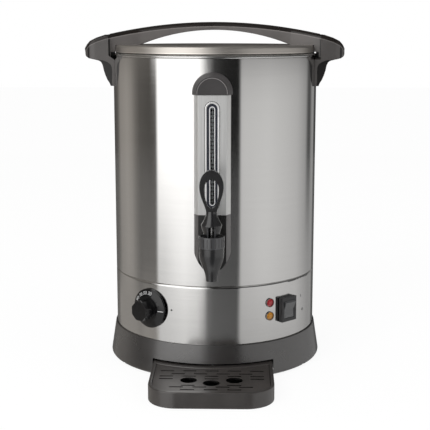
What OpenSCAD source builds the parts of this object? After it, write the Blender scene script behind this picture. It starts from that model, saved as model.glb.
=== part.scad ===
// Hot water urn: double-walled steel body, lid with arched bar handle,
// level gauge, lever tap, dial thermostat, rocker switch and drip tray.
// Millimetres, +Z up. Front is -Y. Origin: on the floor, in the middle of the urn's
// outline from the tray's front to the base ring's back.

/* [Body] */
// Outside diameter of the upper shell and the control band
body_d = 290; // [270:1:310]
// Thickness of the shell, band and lid sheet
sheet_t = 0.8; // [0.6:0.1:1]
// Gap between the shell's outside and the tank's inside
wall_gap = 13; // [12:0.5:16]
// Height of the tank's rim above the floor
rim_z = 438.8; // [430:0.2:460]
// Height of the seam between upper shell and control band
seam_z = 131.2; // [126:0.2:136]
// Radius of the rounded shoulder on the control band
shoulder_r = 4; // [3:0.5:5]
// Width of the turned-in flanges at the seam
flange_w = 9; // [7:0.5:11]
// Height of the tank's inner floor
tank_floor_z = 165; // [160:1:168]
// Thickness of the tank's wall and floor
tank_t = 1; // [0.8:0.1:1.2]
// Radius of the rolled bead on the tank's rim
bead_r = 2; // [1.8:0.1:2.2]

/* [Base] */
// Height of the base ring's top edge
ring_top_z = 49.4; // [46:0.2:52]
// Height of the base ring's bottom edge
ring_z = 2; // [1.5:0.1:2.5]
// Outward flare of the base ring's bottom edge from the band
ring_flare = 8.7; // [7:0.1:10]
// Outward step of the base ring's top edge from the band
ring_step = 2.2; // [1.5:0.1:3]
// Wall thickness of the base ring
ring_t = 3; // [2.5:0.1:3.5]
// Height of the ledge that carries the control band
ledge_z = 40; // [36:1:42]
// Radial width of the ring's inner ledge and flange
ledge_w = 8; // [7:0.5:10]
// Height of the base plate's underside
plate_z = 8; // [7.5:0.1:8.5]
// Thickness of the base plate
plate_t = 1.2; // [1:0.1:1.5]
// Radius of a rubber foot
foot_r = 9; // [8:0.5:10]
// Inset of each foot's middle from the body's outside
foot_inset = 25; // [21:1:29]
// Radius of a base screw's shank
base_screw_r = 1.5; // [1.3:0.1:1.7]
// Width of a vent notch in the base ring's lower edge
notch_w = 7; // [3:0.5:10]
// Height of a vent notch
notch_h = 3; // [2:0.5:4]

/* [Drip tray] */
// Half-width of the drip tray
tray_hw = 82; // [78:1:84]
// Reach of the drip tray past the body's outside
tray_reach = 112.5; // [105:0.5:120]
// Height of the tray's rim
tray_h = 22; // [20:0.5:22.5]
// Radius of the tray's front corners
tray_corner = 38; // [34:1:42]
// Thickness of the tray's walls and floor
tray_t = 2.4; // [2:0.2:3]
// Width of the rim around the grate
tray_rim = 5; // [4.5:0.1:5.5]
// Width of the ledge under the grate
tray_ledge = 3; // [2.5:0.5:4]
// Width of the rim's curved back, in front of the base ring
tray_back = 12; // [11:0.5:14]
// Thickness of the grate
grate_t = 2.5; // [2:0.1:3]
// Depth of the grate's face below the rim
grate_drop = 1.5; // [1.2:0.1:2]
// Length of a drain slot
slot_l = 18.5; // [16:0.5:20]
// Width of a drain slot
slot_w = 3; // [2:0.2:3.4]
// Spacing of the drain slots across the grate
slot_pitch = 30; // [28:0.5:32]
// Radius of the three round drain holes
drain_r = 11; // [9:0.5:11.5]
// Width of a tray tongue
tongue_w = 12; // [10:1:14]
// Thickness of a tray tongue
tongue_t = 3; // [2.5:0.1:3.2]
// Distance of each tongue from the tray's middle
tongue_x = 55; // [50:1:58]

/* [Lid] */
// Step of the lid's edge in from the body's outside
lid_step = 3.5; // [3:0.1:5]
// Height of the lid's rim band
lid_h = 11.6; // [10:0.1:13]
// Radius of the lid's upper edge
lid_edge_r = 3; // [2:0.5:4]
// Thickness of the silicone seal's flange
seal_t = 1.2; // [1:0.1:1.5]
// Gap between the seal and the tank
seal_gap = 0.3; // [0.2:0.05:0.5]
// Depth of the inner liner below the rim
liner_drop = 5; // [4:0.5:8]
// Height of the arched handle's top above the rim
arch_rise = 43.9; // [41:0.1:48]
// Thickness of the arch at its middle
arch_t = 11.1; // [10:0.1:13]
// Radius of the arch's upper curve
arch_top_r = 670; // [580:1:720]
// Radius of the arch's lower curve
arch_low_r = 286; // [275:1:300]
// Half-width of the arch bar at its middle
arch_hw = 14; // [12:0.5:16]
// Half-width of the arch bar at its ends
arch_end_hw = 30; // [26:0.5:34]
// Length of the arch's ends past the body
arch_over = 7.6; // [7:0.1:9]
// Half-width of a lid lug
lug_tab_hw = 5; // [4:0.5:6]
// Radius of a steam hole
steam_r = 2; // [1.5:0.1:2.5]

/* [Side handles] */
// Reach of a side handle past the body
grip_reach = 37.5; // [36:0.5:44]
// Half-length of a side handle
grip_hl = 40; // [38:1:50]
// Height of a side handle's lower tip below the rim
grip_drop = 44.8; // [43:0.2:50]
// Gap between the lid handle's ends and the side handles
lock_gap = 0.8; // [0.3:0.05:1]
// Depth of the bayonet hook under the side handle's lip
hook_reach = 4.4; // [4:0.1:5]
// Height of the bayonet hook
hook_h = 3.6; // [3:0.1:4]
// Turn of the lid between open and locked
lock_turn = 10; // [8:0.5:10.5]
// Radius of a handle screw's shank
handle_screw_r = 2; // [1.8:0.1:2.2]

/* [Gauge] */
// Half-width of the gauge cover at the body
panel_hw = 24.2; // [23:0.1:27]
// Half-width of the gauge cover's front face
panel_face_hw = 18.5; // [18:0.5:20]
// Distance of the gauge cover's face from the shell
panel_reach = 17; // [16:0.5:18]
// Height of the bevel's back edge from the shell
panel_side = 7; // [6:0.5:9]
// Height of the joint between tap holder and gauge cover
cover_z = 232; // [230:0.5:234]
// Height of the cover's top edge
cover_top_z = 389; // [384:0.5:394]
// Half-width of the window in the cover
window_hw = 7; // [6:0.5:8]
// Half-width of the slot in the scale
scale_slot_hw = 3.4; // [3:0.1:3.8]
// Thickness of the scale
scale_t = 2; // [1.5:0.1:2.2]
// Outside radius of the gauge tube
tube_r = 4; // [3.5:0.1:4.2]
// Wall of the gauge tube
tube_t = 1; // [0.8:0.1:1.2]
// Radius of a gauge seal
gauge_seal_r = 6; // [5.6:0.1:6.4]

/* [Tap] */
// Distance of the tap's axis from the shell
tap_reach = 50; // [48:0.5:53]
// Height of the tap's shank
tap_z = 184; // [183:0.2:185]
// Height of the nozzle's end
nozzle_z = 151.7; // [148:0.5:155]
// Outside radius of the nozzle
nozzle_r = 7.5; // [7:0.1:8]
// Bore radius of the nozzle
nozzle_bore_r = 5.5; // [5:0.1:6]
// Outside radius of the tap's body
tap_r = 16.2; // [15.8:0.1:16.6]
// Radius of the tap's inner chamber
chamber_r = 10.5; // [10:0.1:11]
// Outside radius of the bonnet
bonnet_r = 16.7; // [16.2:0.1:17.2]
// Height of the joint between tap body and bonnet
bonnet_z = 195.5; // [194.5:0.5:197]
// Height of the bonnet
bonnet_h = 15.5; // [15:0.5:17]
// Radius of the shank's threaded length
shank_r = 8; // [7.5:0.1:8.5]
// Radius of the valve stem
stem_r = 3; // [2.8:0.1:3.2]
// Running clearance of the stem and of the lever's pin
run_fit = 0.05; // [0.03:0.01:0.08]
// Radius of the lever's pin
pin_r = 1.5; // [1.3:0.1:1.6]
// Height of the lever's pin above the bonnet's floor
pin_rise = 10.9; // [10:0.1:12]
// Radius of the lever's foot
foot_cam_r = 9.5; // [9:0.1:10]
// Radius of the lever's flared skirt
flare_r = 13.6; // [13:0.1:15]
// Half-width of the lever's neck
neck_hw = 6.8; // [6:0.1:7.5]
// Height of the lever above the bonnet's floor
lever_h = 88.5; // [84:0.5:95]
// Half-width of the lever's loop
loop_hw = 15.5; // [14:0.5:17]
// Thickness of the lever's loop
loop_t = 9; // [8:0.5:10]

/* [Controls] */
// Height of the dial's centre
dial_z = 93.5; // [90:0.5:96]
// Angle of the dial from the front
dial_az = -36.5; // [-38:0.5:-33]
// Radius of the dial's skirt
dial_r = 27.5; // [26.5:0.5:30]
// Width across the grip's flats
grip_flats = 26; // [25:0.5:29]
// Length of the dial's grip
grip_l = 17; // [15:0.5:24]
// Radius of the thermostat's shaft
shaft_r = 3; // [2.8:0.1:3.2]
// Angle of the lamps from the front
lamp_az = 32.5; // [30:0.5:34]
// Height of the heating lamp
lamp_hi_z = 103.4; // [102:0.2:108]
// Height of the keep-warm lamp
lamp_lo_z = 84.6; // [82:0.2:88]
// Outside radius of a lamp's bezel
lamp_r = 6.3; // [6:0.1:6.6]
// Angle of the rocker switch from the front
switch_az = 44; // [42:0.5:46]
// Height of the rocker switch's centre
switch_z = 91; // [88:0.5:94]
// Width of the switch's bezel
switch_w = 28; // [26:0.5:30]
// Height of the switch's bezel
switch_h = 34; // [33:0.5:36]
// Distance of the bezel's face from the band
switch_reach = 7; // [6:0.5:8]
// Width of the rocker
rocker_w = 19; // [17:0.5:20]
// Radius of the rocker's swing
rocker_r = 13; // [12:0.5:13.5]
// Swing of the rocker between off and on
rocker_swing = 20; // [16:1:22]

/* [Inside] */
// Inset of the heat spreader's edge from the tank's wall
spreader_inset = 32; // [28:1:42]
// Thickness of the heat spreader
spreader_t = 4; // [3:0.5:5]
// Inset of the heating element's ring from the spreader's edge
element_inset = 25; // [20:1:30]
// Radius of the heating element's sheath
element_r = 4; // [3.5:0.1:4.5]
// Inset of the tie rods from the tank's outside
tie_inset = 18; // [16:1:21]
// Radius of a tie rod
tie_r = 2.5; // [2:0.1:3]
// Height of the cord gland's centre
gland_z = 75; // [70:1:80]
// Bore radius of the cord gland
gland_bore_r = 3.6; // [3:0.1:4]
// Radius of the reset button
reset_r = 3; // [2.5:0.1:3.5]
// Travel of the reset button
reset_travel = 2.5; // [2:0.1:3]

/* [Hidden] */
$fn = 96;
eps = 0.01;
body_r = body_d / 2;
seat_gap = 0.15;
hole_gap = 0.3;
bend_ball = 1.12;
ball_sides = 32;
far = 400;

tank_ri = body_r - wall_gap;
tank_ro = tank_ri + tank_t;
shell_ri = body_r - sheet_t;
bead_z = rim_z - bead_r;
bead_c = body_r - bead_r + 0.6;
tank_flange_z = rim_z - 1;
shell_top_z = bead_z - bead_r;

ring_top_r = body_r + ring_step;
ring_bot_r = body_r + ring_flare;
ring_round = 4;
ring_top_round = 1.5;
recess_hw = tray_hw + 1.5;
notch_az = 57;
recess_z = tray_h + 2;
plate_top_z = plate_z + plate_t;
plate_r = body_r - 2;
tray_rear_r = body_r + 3.5;
ring_flange_t = 3;
base_screw_pitch_r = body_r - 4.5;
base_screw_head_r = 3;
base_screw_head_h = 1.8;
foot_stem_r = 3;
foot_pitch_r = body_r - foot_inset;

tray_front = body_r + tray_reach;
grate_z = tray_h - grate_drop - grate_t;
grate_gap = 0.4;
tongue_z = 3;
tongue_root_r = tray_rear_r + tray_back / 2;
guide_wall = 3;
guide_gap = 0.3;
guide_y = body_r - 19;
guide_l = 30;
drain_x = 30;
drain_inset = 51.5;
drain_mid_inset = 40.5;
drain_y = tray_front - drain_inset;
drain_mid_y = tray_front - drain_mid_inset;
// each row: distance from the tray's front, number of slots, pitches between them
slot_rows = [
    [89, 5, 1], [77, 4, 1], [67.5, 5, 1], [57, 3, 2],
    [31.8, 2, 2], [25.5, 4, 1], [15.5, 3, 1]
];

lid_r = body_r - lid_step;
seal_z = tank_flange_z + seal_gap - 0.1;
lid_z = seal_z + seal_t;
lid_top_z = rim_z + lid_h + 0.4;
liner_r = tank_ri - 5;
liner_z = rim_z - liner_drop;
arch_top_z = rim_z + arch_rise;
arch_end_r = body_r + arch_over;
arm_z = rim_z + 2.4;
arm_gap = 0.5;
tab_z = rim_z - 4.8;
tab_in_r = body_r + 1.3;
hook_r = arch_end_r + hook_reach;
lug_wall_r = arch_end_r + lock_gap;
groove_z = tab_z - lock_gap;
groove_h = hook_h + 2 * lock_gap;
hook_clear = 0.6;
lid_screw_x = lid_r - 19.5;
lid_screw_y = 8;
lid_screw_r = 2;
lid_screw_head_r = 3.5;
lid_screw_head_h = 2;
lid_screw_l = 7;
steam_x = 70;
steam_y = 77;
steam_ring_r = 7;

grip_r = body_r + grip_reach;
grip_tip_z = rim_z - grip_drop;
handle_screw_y = 25;
handle_screw_z = rim_z - 20;
screw_head_r = 3.6;
screw_head_h = 2.4;
screw_bite = 7;
screw_hole_l = screw_bite + 1;
backing_t = 1.5;
backing_r = shell_ri - seat_gap;
finger_in = 22;
finger_wall = 4;
finger_end_wall = 8;
grip_flange = 3;
finger_top = 2;
backing_hw = 34;
backing_h = 16;

face_y = body_r + panel_reach;
bevel_y = body_r + panel_side;
tube_y = body_r + 8;
tube_low_z = 206;
tube_top_z = cover_top_z + 3;
cap_over = 2.3;
cap_r = panel_hw + cap_over;
cap_h = 28.8;
cap_z = cover_top_z + cap_h - cap_r;
cap_band = 6.9;
cap_face_r = cap_r - cap_band;
cap_ease = 1.5;
cap_straight = bevel_y - 1;
cap_plug_h = 6;
seal_h = 5;
low_seal_z = tube_low_z + 1;
top_seal_z = cover_top_z - seal_h + 2;
panel_in = 12;
holder_waist = 53;
holder_curve = 20;
holder_foot_hw = 12;
holder_bend = 1.3;
holder_z = cover_z - holder_waist - holder_curve;
scale_margin = 5;
window_low_z = cover_z + 9;
window_top_z = cover_top_z - 11;
scale_low_z = cover_z + 5;
scale_top_z = cover_top_z - cap_plug_h - 0.5;
scale_hw = 10;
cap_screw_z = cover_top_z + 12;

tap_y = body_r + tap_reach;
bonnet_floor_z = bonnet_z + bonnet_h - 3;
bonnet_wall_r = bonnet_r - 2.2;
bonnet_top_t = 4;
neck_r = chamber_r + 2.5;
neck_h = 7;
seat_z = nozzle_z + 21.3;
cup_gap = 0.3;
cup_r = 8;
cup_z = seat_z + cup_gap;
cup_h = 8;
pin_z = bonnet_floor_z + pin_rise;
foot_z = bonnet_floor_z + 0.3;
stem_top_z = pin_z + 4;
lever_slot_top_z = pin_z + norm([stem_r, stem_top_z - pin_z]) + 0.5;
lever_slot_hw = stem_r + 0.3;
flare_rise = 17.3;
neck_rise = 35;
neck_sunk = 6;
skirt_rise = 7.5;
skirt_step = 1.5;
lip_t = 1.1;
flare_z = foot_z + flare_rise;
neck_z = foot_z + neck_rise;
lever_top_z = bonnet_floor_z + lever_h;
loop_z = lever_top_z - 21;
loop_taper = 1.3;
loop_steps = 20;
hole_hw = loop_hw - 6;
hole_top_z = lever_top_z - 12;
hole_z = lever_top_z - 24.5;
hole_low_z = neck_z + 4;
spring_r = stem_r + 2.3;
spring_wire = 0.7;
spring_turns = 6;
shank_end_y = tank_ri - 17;
tap_flange_r = 13;
tap_flange_t = 3;
nut_flats = 26;
nut_t = 7;
washer_r = 14;
washer_t = 4;

dial_seat = body_r + 0.6;
dial_rim_t = 2.6;
dial_cone_t = 4.4;
dial_hub_r = 17;
octagon_sides = 8;
thermo_face = shell_ri - 1.1;
thermo_plate_hw = 17;
thermo_plate_t = 3;
thermo_body_hw = 15;
thermo_body_d = 25;
shaft_in_knob = 14;
shaft_in_body = 18;
bush_r = 5;
bush_gap = 0.15;
lamp_barrel_r = 4.8;
lamp_rim = 0.7;
lamp_lens_r = lamp_r - lamp_rim;
lamp_dome_h = 2.2;
lamp_bezel_t = 1.6;
lamp_barrel_l = 16;
lamp_wall = 1;
lamp_bore_r = lamp_barrel_r - 0.8;
lamp_plug_l = 5;
switch_wall = 2.6;
rocker_axis = body_r + switch_reach - 5.2;
rocker_gap = 0.4;
rocker_rest = rocker_swing / 2;
switch_body_d = 22;

spreader_r = tank_ri - spreader_inset;
spreader_z = tank_floor_z - tank_t - spreader_t;
element_ring_r = spreader_r - element_inset;
element_z = spreader_z - element_r;
element_leg = 22;
tie_pitch_r = tank_ro - tie_inset;
tie_angles = [30, 150, 270];
tie_nut_h = 3.4;
tie_nut_flats = 8;
bulb_y = 20;
bulb_l = 60;
bulb_r = 3;
capillary_r = 1;
capillary_in = 22;
cutout_x = -50;
cutout_y = 60;
cutout_h = 26;
cutout_w = 30;
reset_out = 3.5;
reset_in = 12;
block_x = 38;
block_y = 70;
wire_r = 1.3;
block_h = 14;
gland_r = 9;
gland_flange_r = 12;
gland_out = 4;
gland_in = 22;

// ---------- helpers ----------

// points of an arc about c, from angle a0 to a1
function arc_pts(c, r, a0, a1, n) =
    [for (i = [0:n]) c + r * [cos(a0 + (a1 - a0) * i / n), sin(a0 + (a1 - a0) * i / n)]];

// smooth step from 0 to 1
function ease(t) = t <= 0 ? 0 : t >= 1 ? 1 : t * t * (3 - 2 * t);

// drop of a circle of radius r at distance x from its top
function sag(r, x) = r - sqrt(r * r - x * x);

// height of the arch's upper curve at x
function arch_z(x) = arch_top_z - sag(arch_top_r, x);

// a rectangle in the XZ half-plane of a turned section
module ring_rect(r0, r1, z0, z1) {
    translate([r0, z0]) square([r1 - r0, z1 - z0]);
}

// moves the urn back so that its outline's middle is over the origin
module placed() {
    translate([0, (tray_front - ring_bot_r) / 2, 0]) children();
}

// turns the local -Y direction to an angle from the front
module at_angle(az, z) {
    translate([0, 0, z]) rotate([0, 0, az]) children();
}

// a cylinder along Y from y0 to y1
module rod_y(r, y0, y1, x = 0, z = 0) {
    translate([x, y0, z]) rotate([-90, 0, 0]) cylinder(r = r, h = y1 - y0);
}

// a cylinder along X from x0 to x1
module rod_x(r, x0, x1, y = 0, z = 0) {
    translate([x0, y, z]) rotate([0, 90, 0]) cylinder(r = r, h = x1 - x0);
}

// a straight round rod between two points
module rod_between(p, q, r) {
    d = q - p;
    translate(p)
        rotate([0, acos(d[2] / norm(d)), atan2(d[1], d[0])])
            cylinder(r = r, h = norm(d));
}

// a bent wire through the points of a route, with a ball a little wider than the wire at each bend
module wire(route, r) {
    for (i = [1:len(route) - 1]) rod_between(route[i - 1], route[i], r);
    if (len(route) > 2) for (i = [1:len(route) - 2]) translate(route[i])
        sphere(r = r * bend_ball, $fn = ball_sides);
}

// extrudes an XZ outline along Y, centred
module slab_y(half) {
    rotate([90, 0, 0]) translate([0, 0, -half]) linear_extrude(2 * half) children();
}

// a slot outline with round ends, upright
module stadium(hw, z0, z1) {
    translate([-hw, z0 + hw]) square([2 * hw, z1 - z0 - 2 * hw]);
    translate([0, z0 + hw]) circle(hw);
    translate([0, z1 - hw]) circle(hw);
}

// ---------- body ----------

module outer_shell() {
    color("silver") placed() difference() {
        rotate_extrude() {
            ring_rect(shell_ri, body_r, seam_z, shell_top_z);
            ring_rect(body_r - flange_w, body_r, seam_z, seam_z + sheet_t);
        }
        rod_y(shank_r + hole_gap, -far, 0, 0, tap_z);
        rod_y(handle_screw_r + hole_gap, -far, 0, 0, cap_screw_z);
        for (y = [-handle_screw_y, handle_screw_y])
            rod_x(handle_screw_r + hole_gap, -far, far, y, handle_screw_z);
    }
}

module inner_tank() {
    color("gainsboro") placed() difference() {
        rotate_extrude() {
            ring_rect(tank_ri, tank_ro, tank_floor_z, tank_flange_z);
            ring_rect(0, tank_ro, tank_floor_z - tank_t, tank_floor_z);
            ring_rect(tank_ri, bead_c, tank_flange_z - sheet_t, tank_flange_z);
            translate([bead_c, bead_z]) circle(bead_r, $fn = 32);
        }
        rod_y(shank_r + hole_gap, -far, 0, 0, tap_z);
    }
}

module control_band() {
    shoulder_c = [body_r - shoulder_r, seam_z - shoulder_r];
    color("silver") placed() difference() {
        rotate_extrude() {
            ring_rect(shell_ri, body_r, ledge_z, seam_z - shoulder_r);
            difference() {
                intersection() {
                    translate(shoulder_c) circle(shoulder_r);
                    translate(shoulder_c) square(shoulder_r);
                }
                translate(shoulder_c) circle(shoulder_r - sheet_t);
            }
            ring_rect(body_r - flange_w, body_r - shoulder_r, seam_z - sheet_t, seam_z);
        }
        at_angle(dial_az, dial_z) rod_y(bush_r + bush_gap, -far, 0);
        at_angle(lamp_az, lamp_hi_z) rod_y(lamp_barrel_r + bush_gap, -far, 0);
        at_angle(lamp_az, lamp_lo_z) rod_y(lamp_barrel_r + bush_gap, -far, 0);
        at_angle(switch_az, switch_z)
            translate([-switch_w / 2 + switch_wall, -far, -switch_h / 2 + switch_wall])
                cube([switch_w - 2 * switch_wall, far, switch_h - 2 * switch_wall]);
        rod_y(gland_r + bush_gap, 0, far, 0, gland_z);
    }
}

// outline of the base ring's turned section
function ring_section() = concat(
    [[ring_bot_r - ring_round - 1, ring_z]],
    arc_pts([ring_bot_r - ring_round, ring_z + ring_round], ring_round, -90, 0, 4),
    arc_pts([ring_top_r - ring_top_round, ring_top_z - ring_top_round], ring_top_round, 0, 90, 3),
    [
        [body_r + seat_gap, ring_top_z], [body_r + seat_gap, ledge_z],
        [body_r + seat_gap - ledge_w, ledge_z],
        [body_r + seat_gap - ledge_w, ledge_z - ring_t], [ring_top_r - ring_t - 1, ledge_z - ring_t]
    ]
);

module base_ring() {
    color("dimgray") placed() difference() {
        union() {
            rotate_extrude() polygon(ring_section());
            translate([0, 0, plate_top_z]) rotate_extrude()
                ring_rect(plate_r - ledge_w, ring_bot_r - ring_t - 0.5, 0, ring_flange_t);
        }
        difference() {
            translate([-recess_hw, -far, -eps]) cube([2 * recess_hw, far, recess_z + eps]);
            translate([0, 0, -1]) cylinder(r = plate_r + 0.5, h = recess_z + 2);
        }
        for (az = [-notch_az, notch_az])
            at_angle(az, 0)
                translate([-notch_w / 2, -far, 0]) cube([notch_w, far - plate_r - 3, ring_z + notch_h]);
        for (i = [0:5]) rotate([0, 0, 30 + 60 * i])
            translate([base_screw_pitch_r, 0, 0])
                cylinder(r = base_screw_r, h = plate_top_z + ring_flange_t + 1);
    }
}

module base_plate() {
    color("lightgray") placed() difference() {
        translate([0, 0, plate_z]) cylinder(r = plate_r, h = plate_t);
        for (i = [0:5]) rotate([0, 0, 30 + 60 * i])
            translate([base_screw_pitch_r, 0, 0]) cylinder(r = base_screw_r + 0.1, h = far);
        for (a = [45:90:315]) rotate([0, 0, a])
            translate([foot_pitch_r, 0, 0]) cylinder(r = foot_stem_r + 0.1, h = far);
        for (a = tie_angles) rotate([0, 0, a])
            translate([tie_pitch_r, 0, 0]) cylinder(r = tie_r + 0.2, h = far);
        translate([cutout_x, cutout_y, 0]) cylinder(r = reset_r + hole_gap, h = far);
    }
}

module rubber_feet() {
    color("black") placed() for (a = [45:90:315]) rotate([0, 0, a]) translate([foot_pitch_r, 0, 0]) {
        rotate_extrude() {
            ring_rect(0, foot_r - 1, 0, plate_z);
            ring_rect(0, foot_r, 1, plate_z);
        }
        cylinder(r = foot_stem_r, h = plate_top_z);
        translate([0, 0, plate_top_z]) cylinder(r = foot_stem_r + 1.2, h = 2);
    }
}

module base_screws() {
    color("gray") placed() for (i = [0:5])
    rotate([0, 0, 30 + 60 * i]) translate([base_screw_pitch_r, 0, 0]) {
        translate([0, 0, plate_z - base_screw_head_h])
            cylinder(r = base_screw_head_r, h = base_screw_head_h);
        translate([0, 0, plate_z - eps]) cylinder(r = base_screw_r, h = plate_t + ring_flange_t + 2);
    }
}

module tie_rods() {
    color("gray") placed() for (a = tie_angles) rotate([0, 0, a])
        translate([tie_pitch_r, 0, plate_z - tie_nut_h - 1])
            cylinder(r = tie_r, h = tank_floor_z - tank_t - plate_z + tie_nut_h + 1);
}

module tie_nuts() {
    color("gray") placed() for (a = tie_angles) rotate([0, 0, a])
        translate([tie_pitch_r, 0, plate_z - tie_nut_h]) difference() {
            cylinder(r = tie_nut_flats / sqrt(3), h = tie_nut_h, $fn = 6);
            translate([0, 0, -1]) cylinder(r = tie_r, h = tie_nut_h + 2);
        }
}

// ---------- heating ----------

module heat_spreader() {
    color("lightgray") placed() translate([0, 0, spreader_z]) cylinder(r = spreader_r, h = spreader_t);
}

module heating_element() {
    color("gray") placed() {
        rotate([0, 0, 105]) translate([0, 0, element_z])
            rotate_extrude(angle = 330) translate([element_ring_r, 0]) circle(element_r, $fn = 32);
        for (a = [105, 435]) rotate([0, 0, a]) translate([element_ring_r, 0, element_z]) {
            sphere(r = element_r, $fn = 32);
            translate([0, 0, -element_leg]) cylinder(r = element_r, h = element_leg, $fn = 32);
        }
    }
}

module thermostat() {
    color("dimgray") placed() at_angle(dial_az, dial_z) difference() {
        union() {
            translate([-thermo_plate_hw, -thermo_face, -thermo_plate_hw])
                cube([2 * thermo_plate_hw, thermo_plate_t, 2 * thermo_plate_hw]);
            translate([-thermo_body_hw, -thermo_face + thermo_plate_t, -thermo_body_hw])
                cube([2 * thermo_body_hw, thermo_body_d, 2 * thermo_body_hw]);
            rod_y(bush_r, -dial_seat + 0.3, -thermo_face);
        }
        rod_y(shaft_r + run_fit, -dial_seat - 1, -thermo_face + shaft_in_body + 2);
    }
}

module thermostat_bulb() {
    back = thermo_face - thermo_plate_t - thermo_body_d;
    start = [back * sin(dial_az), -back * cos(dial_az), dial_z];
    inner = back - capillary_in;
    inward = [inner * sin(dial_az), -inner * cos(dial_az), dial_z];
    low_z = spreader_z - bulb_r;
    color("peru") placed() {
        rod_y(bulb_r, bulb_y - bulb_l, bulb_y, 0, low_z);
        wire([start, inward, [0, inward[1], dial_z], [0, bulb_y - bulb_l - 6, dial_z],
            [0, bulb_y - bulb_l - 6, low_z], [0, bulb_y - bulb_l, low_z]], capillary_r);
    }
}

module boil_dry_cutout() {
    color("darkslategray") placed() difference() {
        translate([cutout_x - cutout_w / 2, cutout_y - cutout_w / 2, plate_top_z])
            cube([cutout_w, cutout_w, cutout_h]);
        translate([cutout_x, cutout_y, 0])
            cylinder(r = reset_r + run_fit, h = plate_top_z + reset_in + reset_travel + hole_gap);
    }
}

module reset_button() {
    color("red") placed() translate([cutout_x, cutout_y, plate_z - reset_out])
        cylinder(r = reset_r, h = reset_out + plate_t + reset_in);
}

module terminal_block() {
    color("ivory") placed() translate([block_x - 20, block_y - 10, plate_top_z]) cube([40, 20, block_h]);
}

// wires from the terminal block to the element, the switch and the boil-dry cutout
module wiring() {
    top = plate_top_z + block_h;
    legs = [for (a = [105, 435]) element_ring_r * [cos(a), sin(a)]];
    leg_z = element_z - element_leg;
    over_z = leg_z - 20;
    cross_z = 50;
    switch_in = body_r - switch_body_d;
    switch_dir = [sin(switch_az), -cos(switch_az)];
    near = (switch_in - 20) * switch_dir;
    at = switch_in * switch_dir;
    color("firebrick") placed() {
        wire([[legs[1][0], legs[1][1], top], [legs[1][0], legs[1][1], leg_z]], wire_r);
        wire([[block_x, block_y - 4, top], [block_x, block_y - 4, over_z], [legs[0][0], block_y - 4, over_z],
            [legs[0][0], legs[0][1], over_z], [legs[0][0], legs[0][1], leg_z]], wire_r);
        wire([[block_x + 8, block_y - 5, top], [block_x + 8, block_y - 5, cross_z],
            [near[0], near[1], cross_z], [near[0], near[1], switch_z], [at[0], at[1], switch_z]], wire_r);
        wire([[block_x - 6, block_y + 8, top], [block_x - 6, block_y + 8, cross_z],
            [cutout_x, block_y + 8, cross_z], [cutout_x, cutout_y + 8, cross_z],
            [cutout_x, cutout_y + 8, plate_top_z + cutout_h]], wire_r);
    }
}

module cord_gland() {
    color("black") placed() difference() {
        union() {
            rod_y(gland_r, body_r - gland_in, body_r + gland_out, 0, gland_z);
            rod_y(gland_flange_r, body_r + seat_gap, body_r + gland_out, 0, gland_z);
        }
        rod_y(gland_bore_r, 0, far, 0, gland_z);
    }
}

module gland_nut() {
    color("black") placed() difference() {
        rod_y(gland_flange_r, body_r - 8, shell_ri - 0.7, 0, gland_z);
        rod_y(gland_r, 0, far, 0, gland_z);
    }
}

// ---------- controls ----------

module switch_housing() {
    color([0.12, 0.12, 0.12]) placed() at_angle(switch_az, switch_z) difference() {
        union() {
            translate([-switch_w / 2, -body_r - switch_reach, -switch_h / 2])
                cube([switch_w, switch_reach - 0.2, switch_h]);
            translate([-switch_w / 2 + switch_wall + 0.2, -body_r - 1, -switch_h / 2 + switch_wall + 0.2])
                cube([
                    switch_w - 2 * switch_wall - 0.4, switch_body_d + 1,
                    switch_h - 2 * switch_wall - 0.4
                ]);
        }
        translate([-rocker_w / 2 - rocker_gap, -rocker_axis, 0])
            rotate([0, 90, 0]) cylinder(r = rocker_r + rocker_gap, h = rocker_w + 2 * rocker_gap);
        rod_x(1.5, -rocker_w / 2 - 2, rocker_w / 2 + 2, -rocker_axis, 0);
    }
}

// the rocker's face is a shallow V about its axle; it rests with its lower half pressed in
module switch_rocker() {
    color([0.25, 0.25, 0.27]) placed() at_angle(switch_az, switch_z)
        translate([0, -rocker_axis, 0]) rotate([rocker_rest, 0, 0]) {
            intersection() {
                rod_x(rocker_r, -rocker_w / 2, rocker_w / 2);
                rotate([90, 0, 90]) translate([0, 0, -rocker_w]) linear_extrude(2 * rocker_w)
                    polygon([
                        [4, -rocker_r - 1], [4, rocker_r + 1], [-7, rocker_r + 1],
                        [-7 + (rocker_r + 1) * tan(rocker_swing / 2), 0], [-7, -rocker_r - 1]
                    ]);
            }
            rod_x(1.5 - run_fit, -rocker_w / 2 - 2 + rocker_gap, rocker_w / 2 + 2 - rocker_gap);
        }
}

module lamp_bodies() {
    color("silver") placed() for (z = [lamp_hi_z, lamp_lo_z]) at_angle(lamp_az, z) difference() {
        union() {
            rod_y(lamp_r, -body_r - lamp_bezel_t, -body_r - 0.05);
            rod_y(lamp_barrel_r, -body_r - lamp_bezel_t, -body_r + lamp_barrel_l);
        }
        rod_y(lamp_bore_r, -far, -body_r + lamp_barrel_l - 2);
        rod_y(lamp_lens_r, -far, -body_r - lamp_bezel_t + lamp_wall);
    }
}

module lamp_lens(z) {
    dome_r = (lamp_lens_r * lamp_lens_r + lamp_dome_h * lamp_dome_h) / (2 * lamp_dome_h);
    front = body_r + lamp_bezel_t - lamp_wall;
    at_angle(lamp_az, z) {
        intersection() {
            translate([0, -front - lamp_dome_h + dome_r, 0]) sphere(r = dome_r);
            rod_y(lamp_lens_r, -front - lamp_dome_h - 1, -front);
        }
        rod_y(lamp_bore_r, -front - eps, -front + lamp_plug_l);
    }
}

module heating_lamp_lens() {
    color("red") placed() lamp_lens(lamp_hi_z);
}

module warm_lamp_lens() {
    color("orange") placed() lamp_lens(lamp_lo_z);
}

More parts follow.
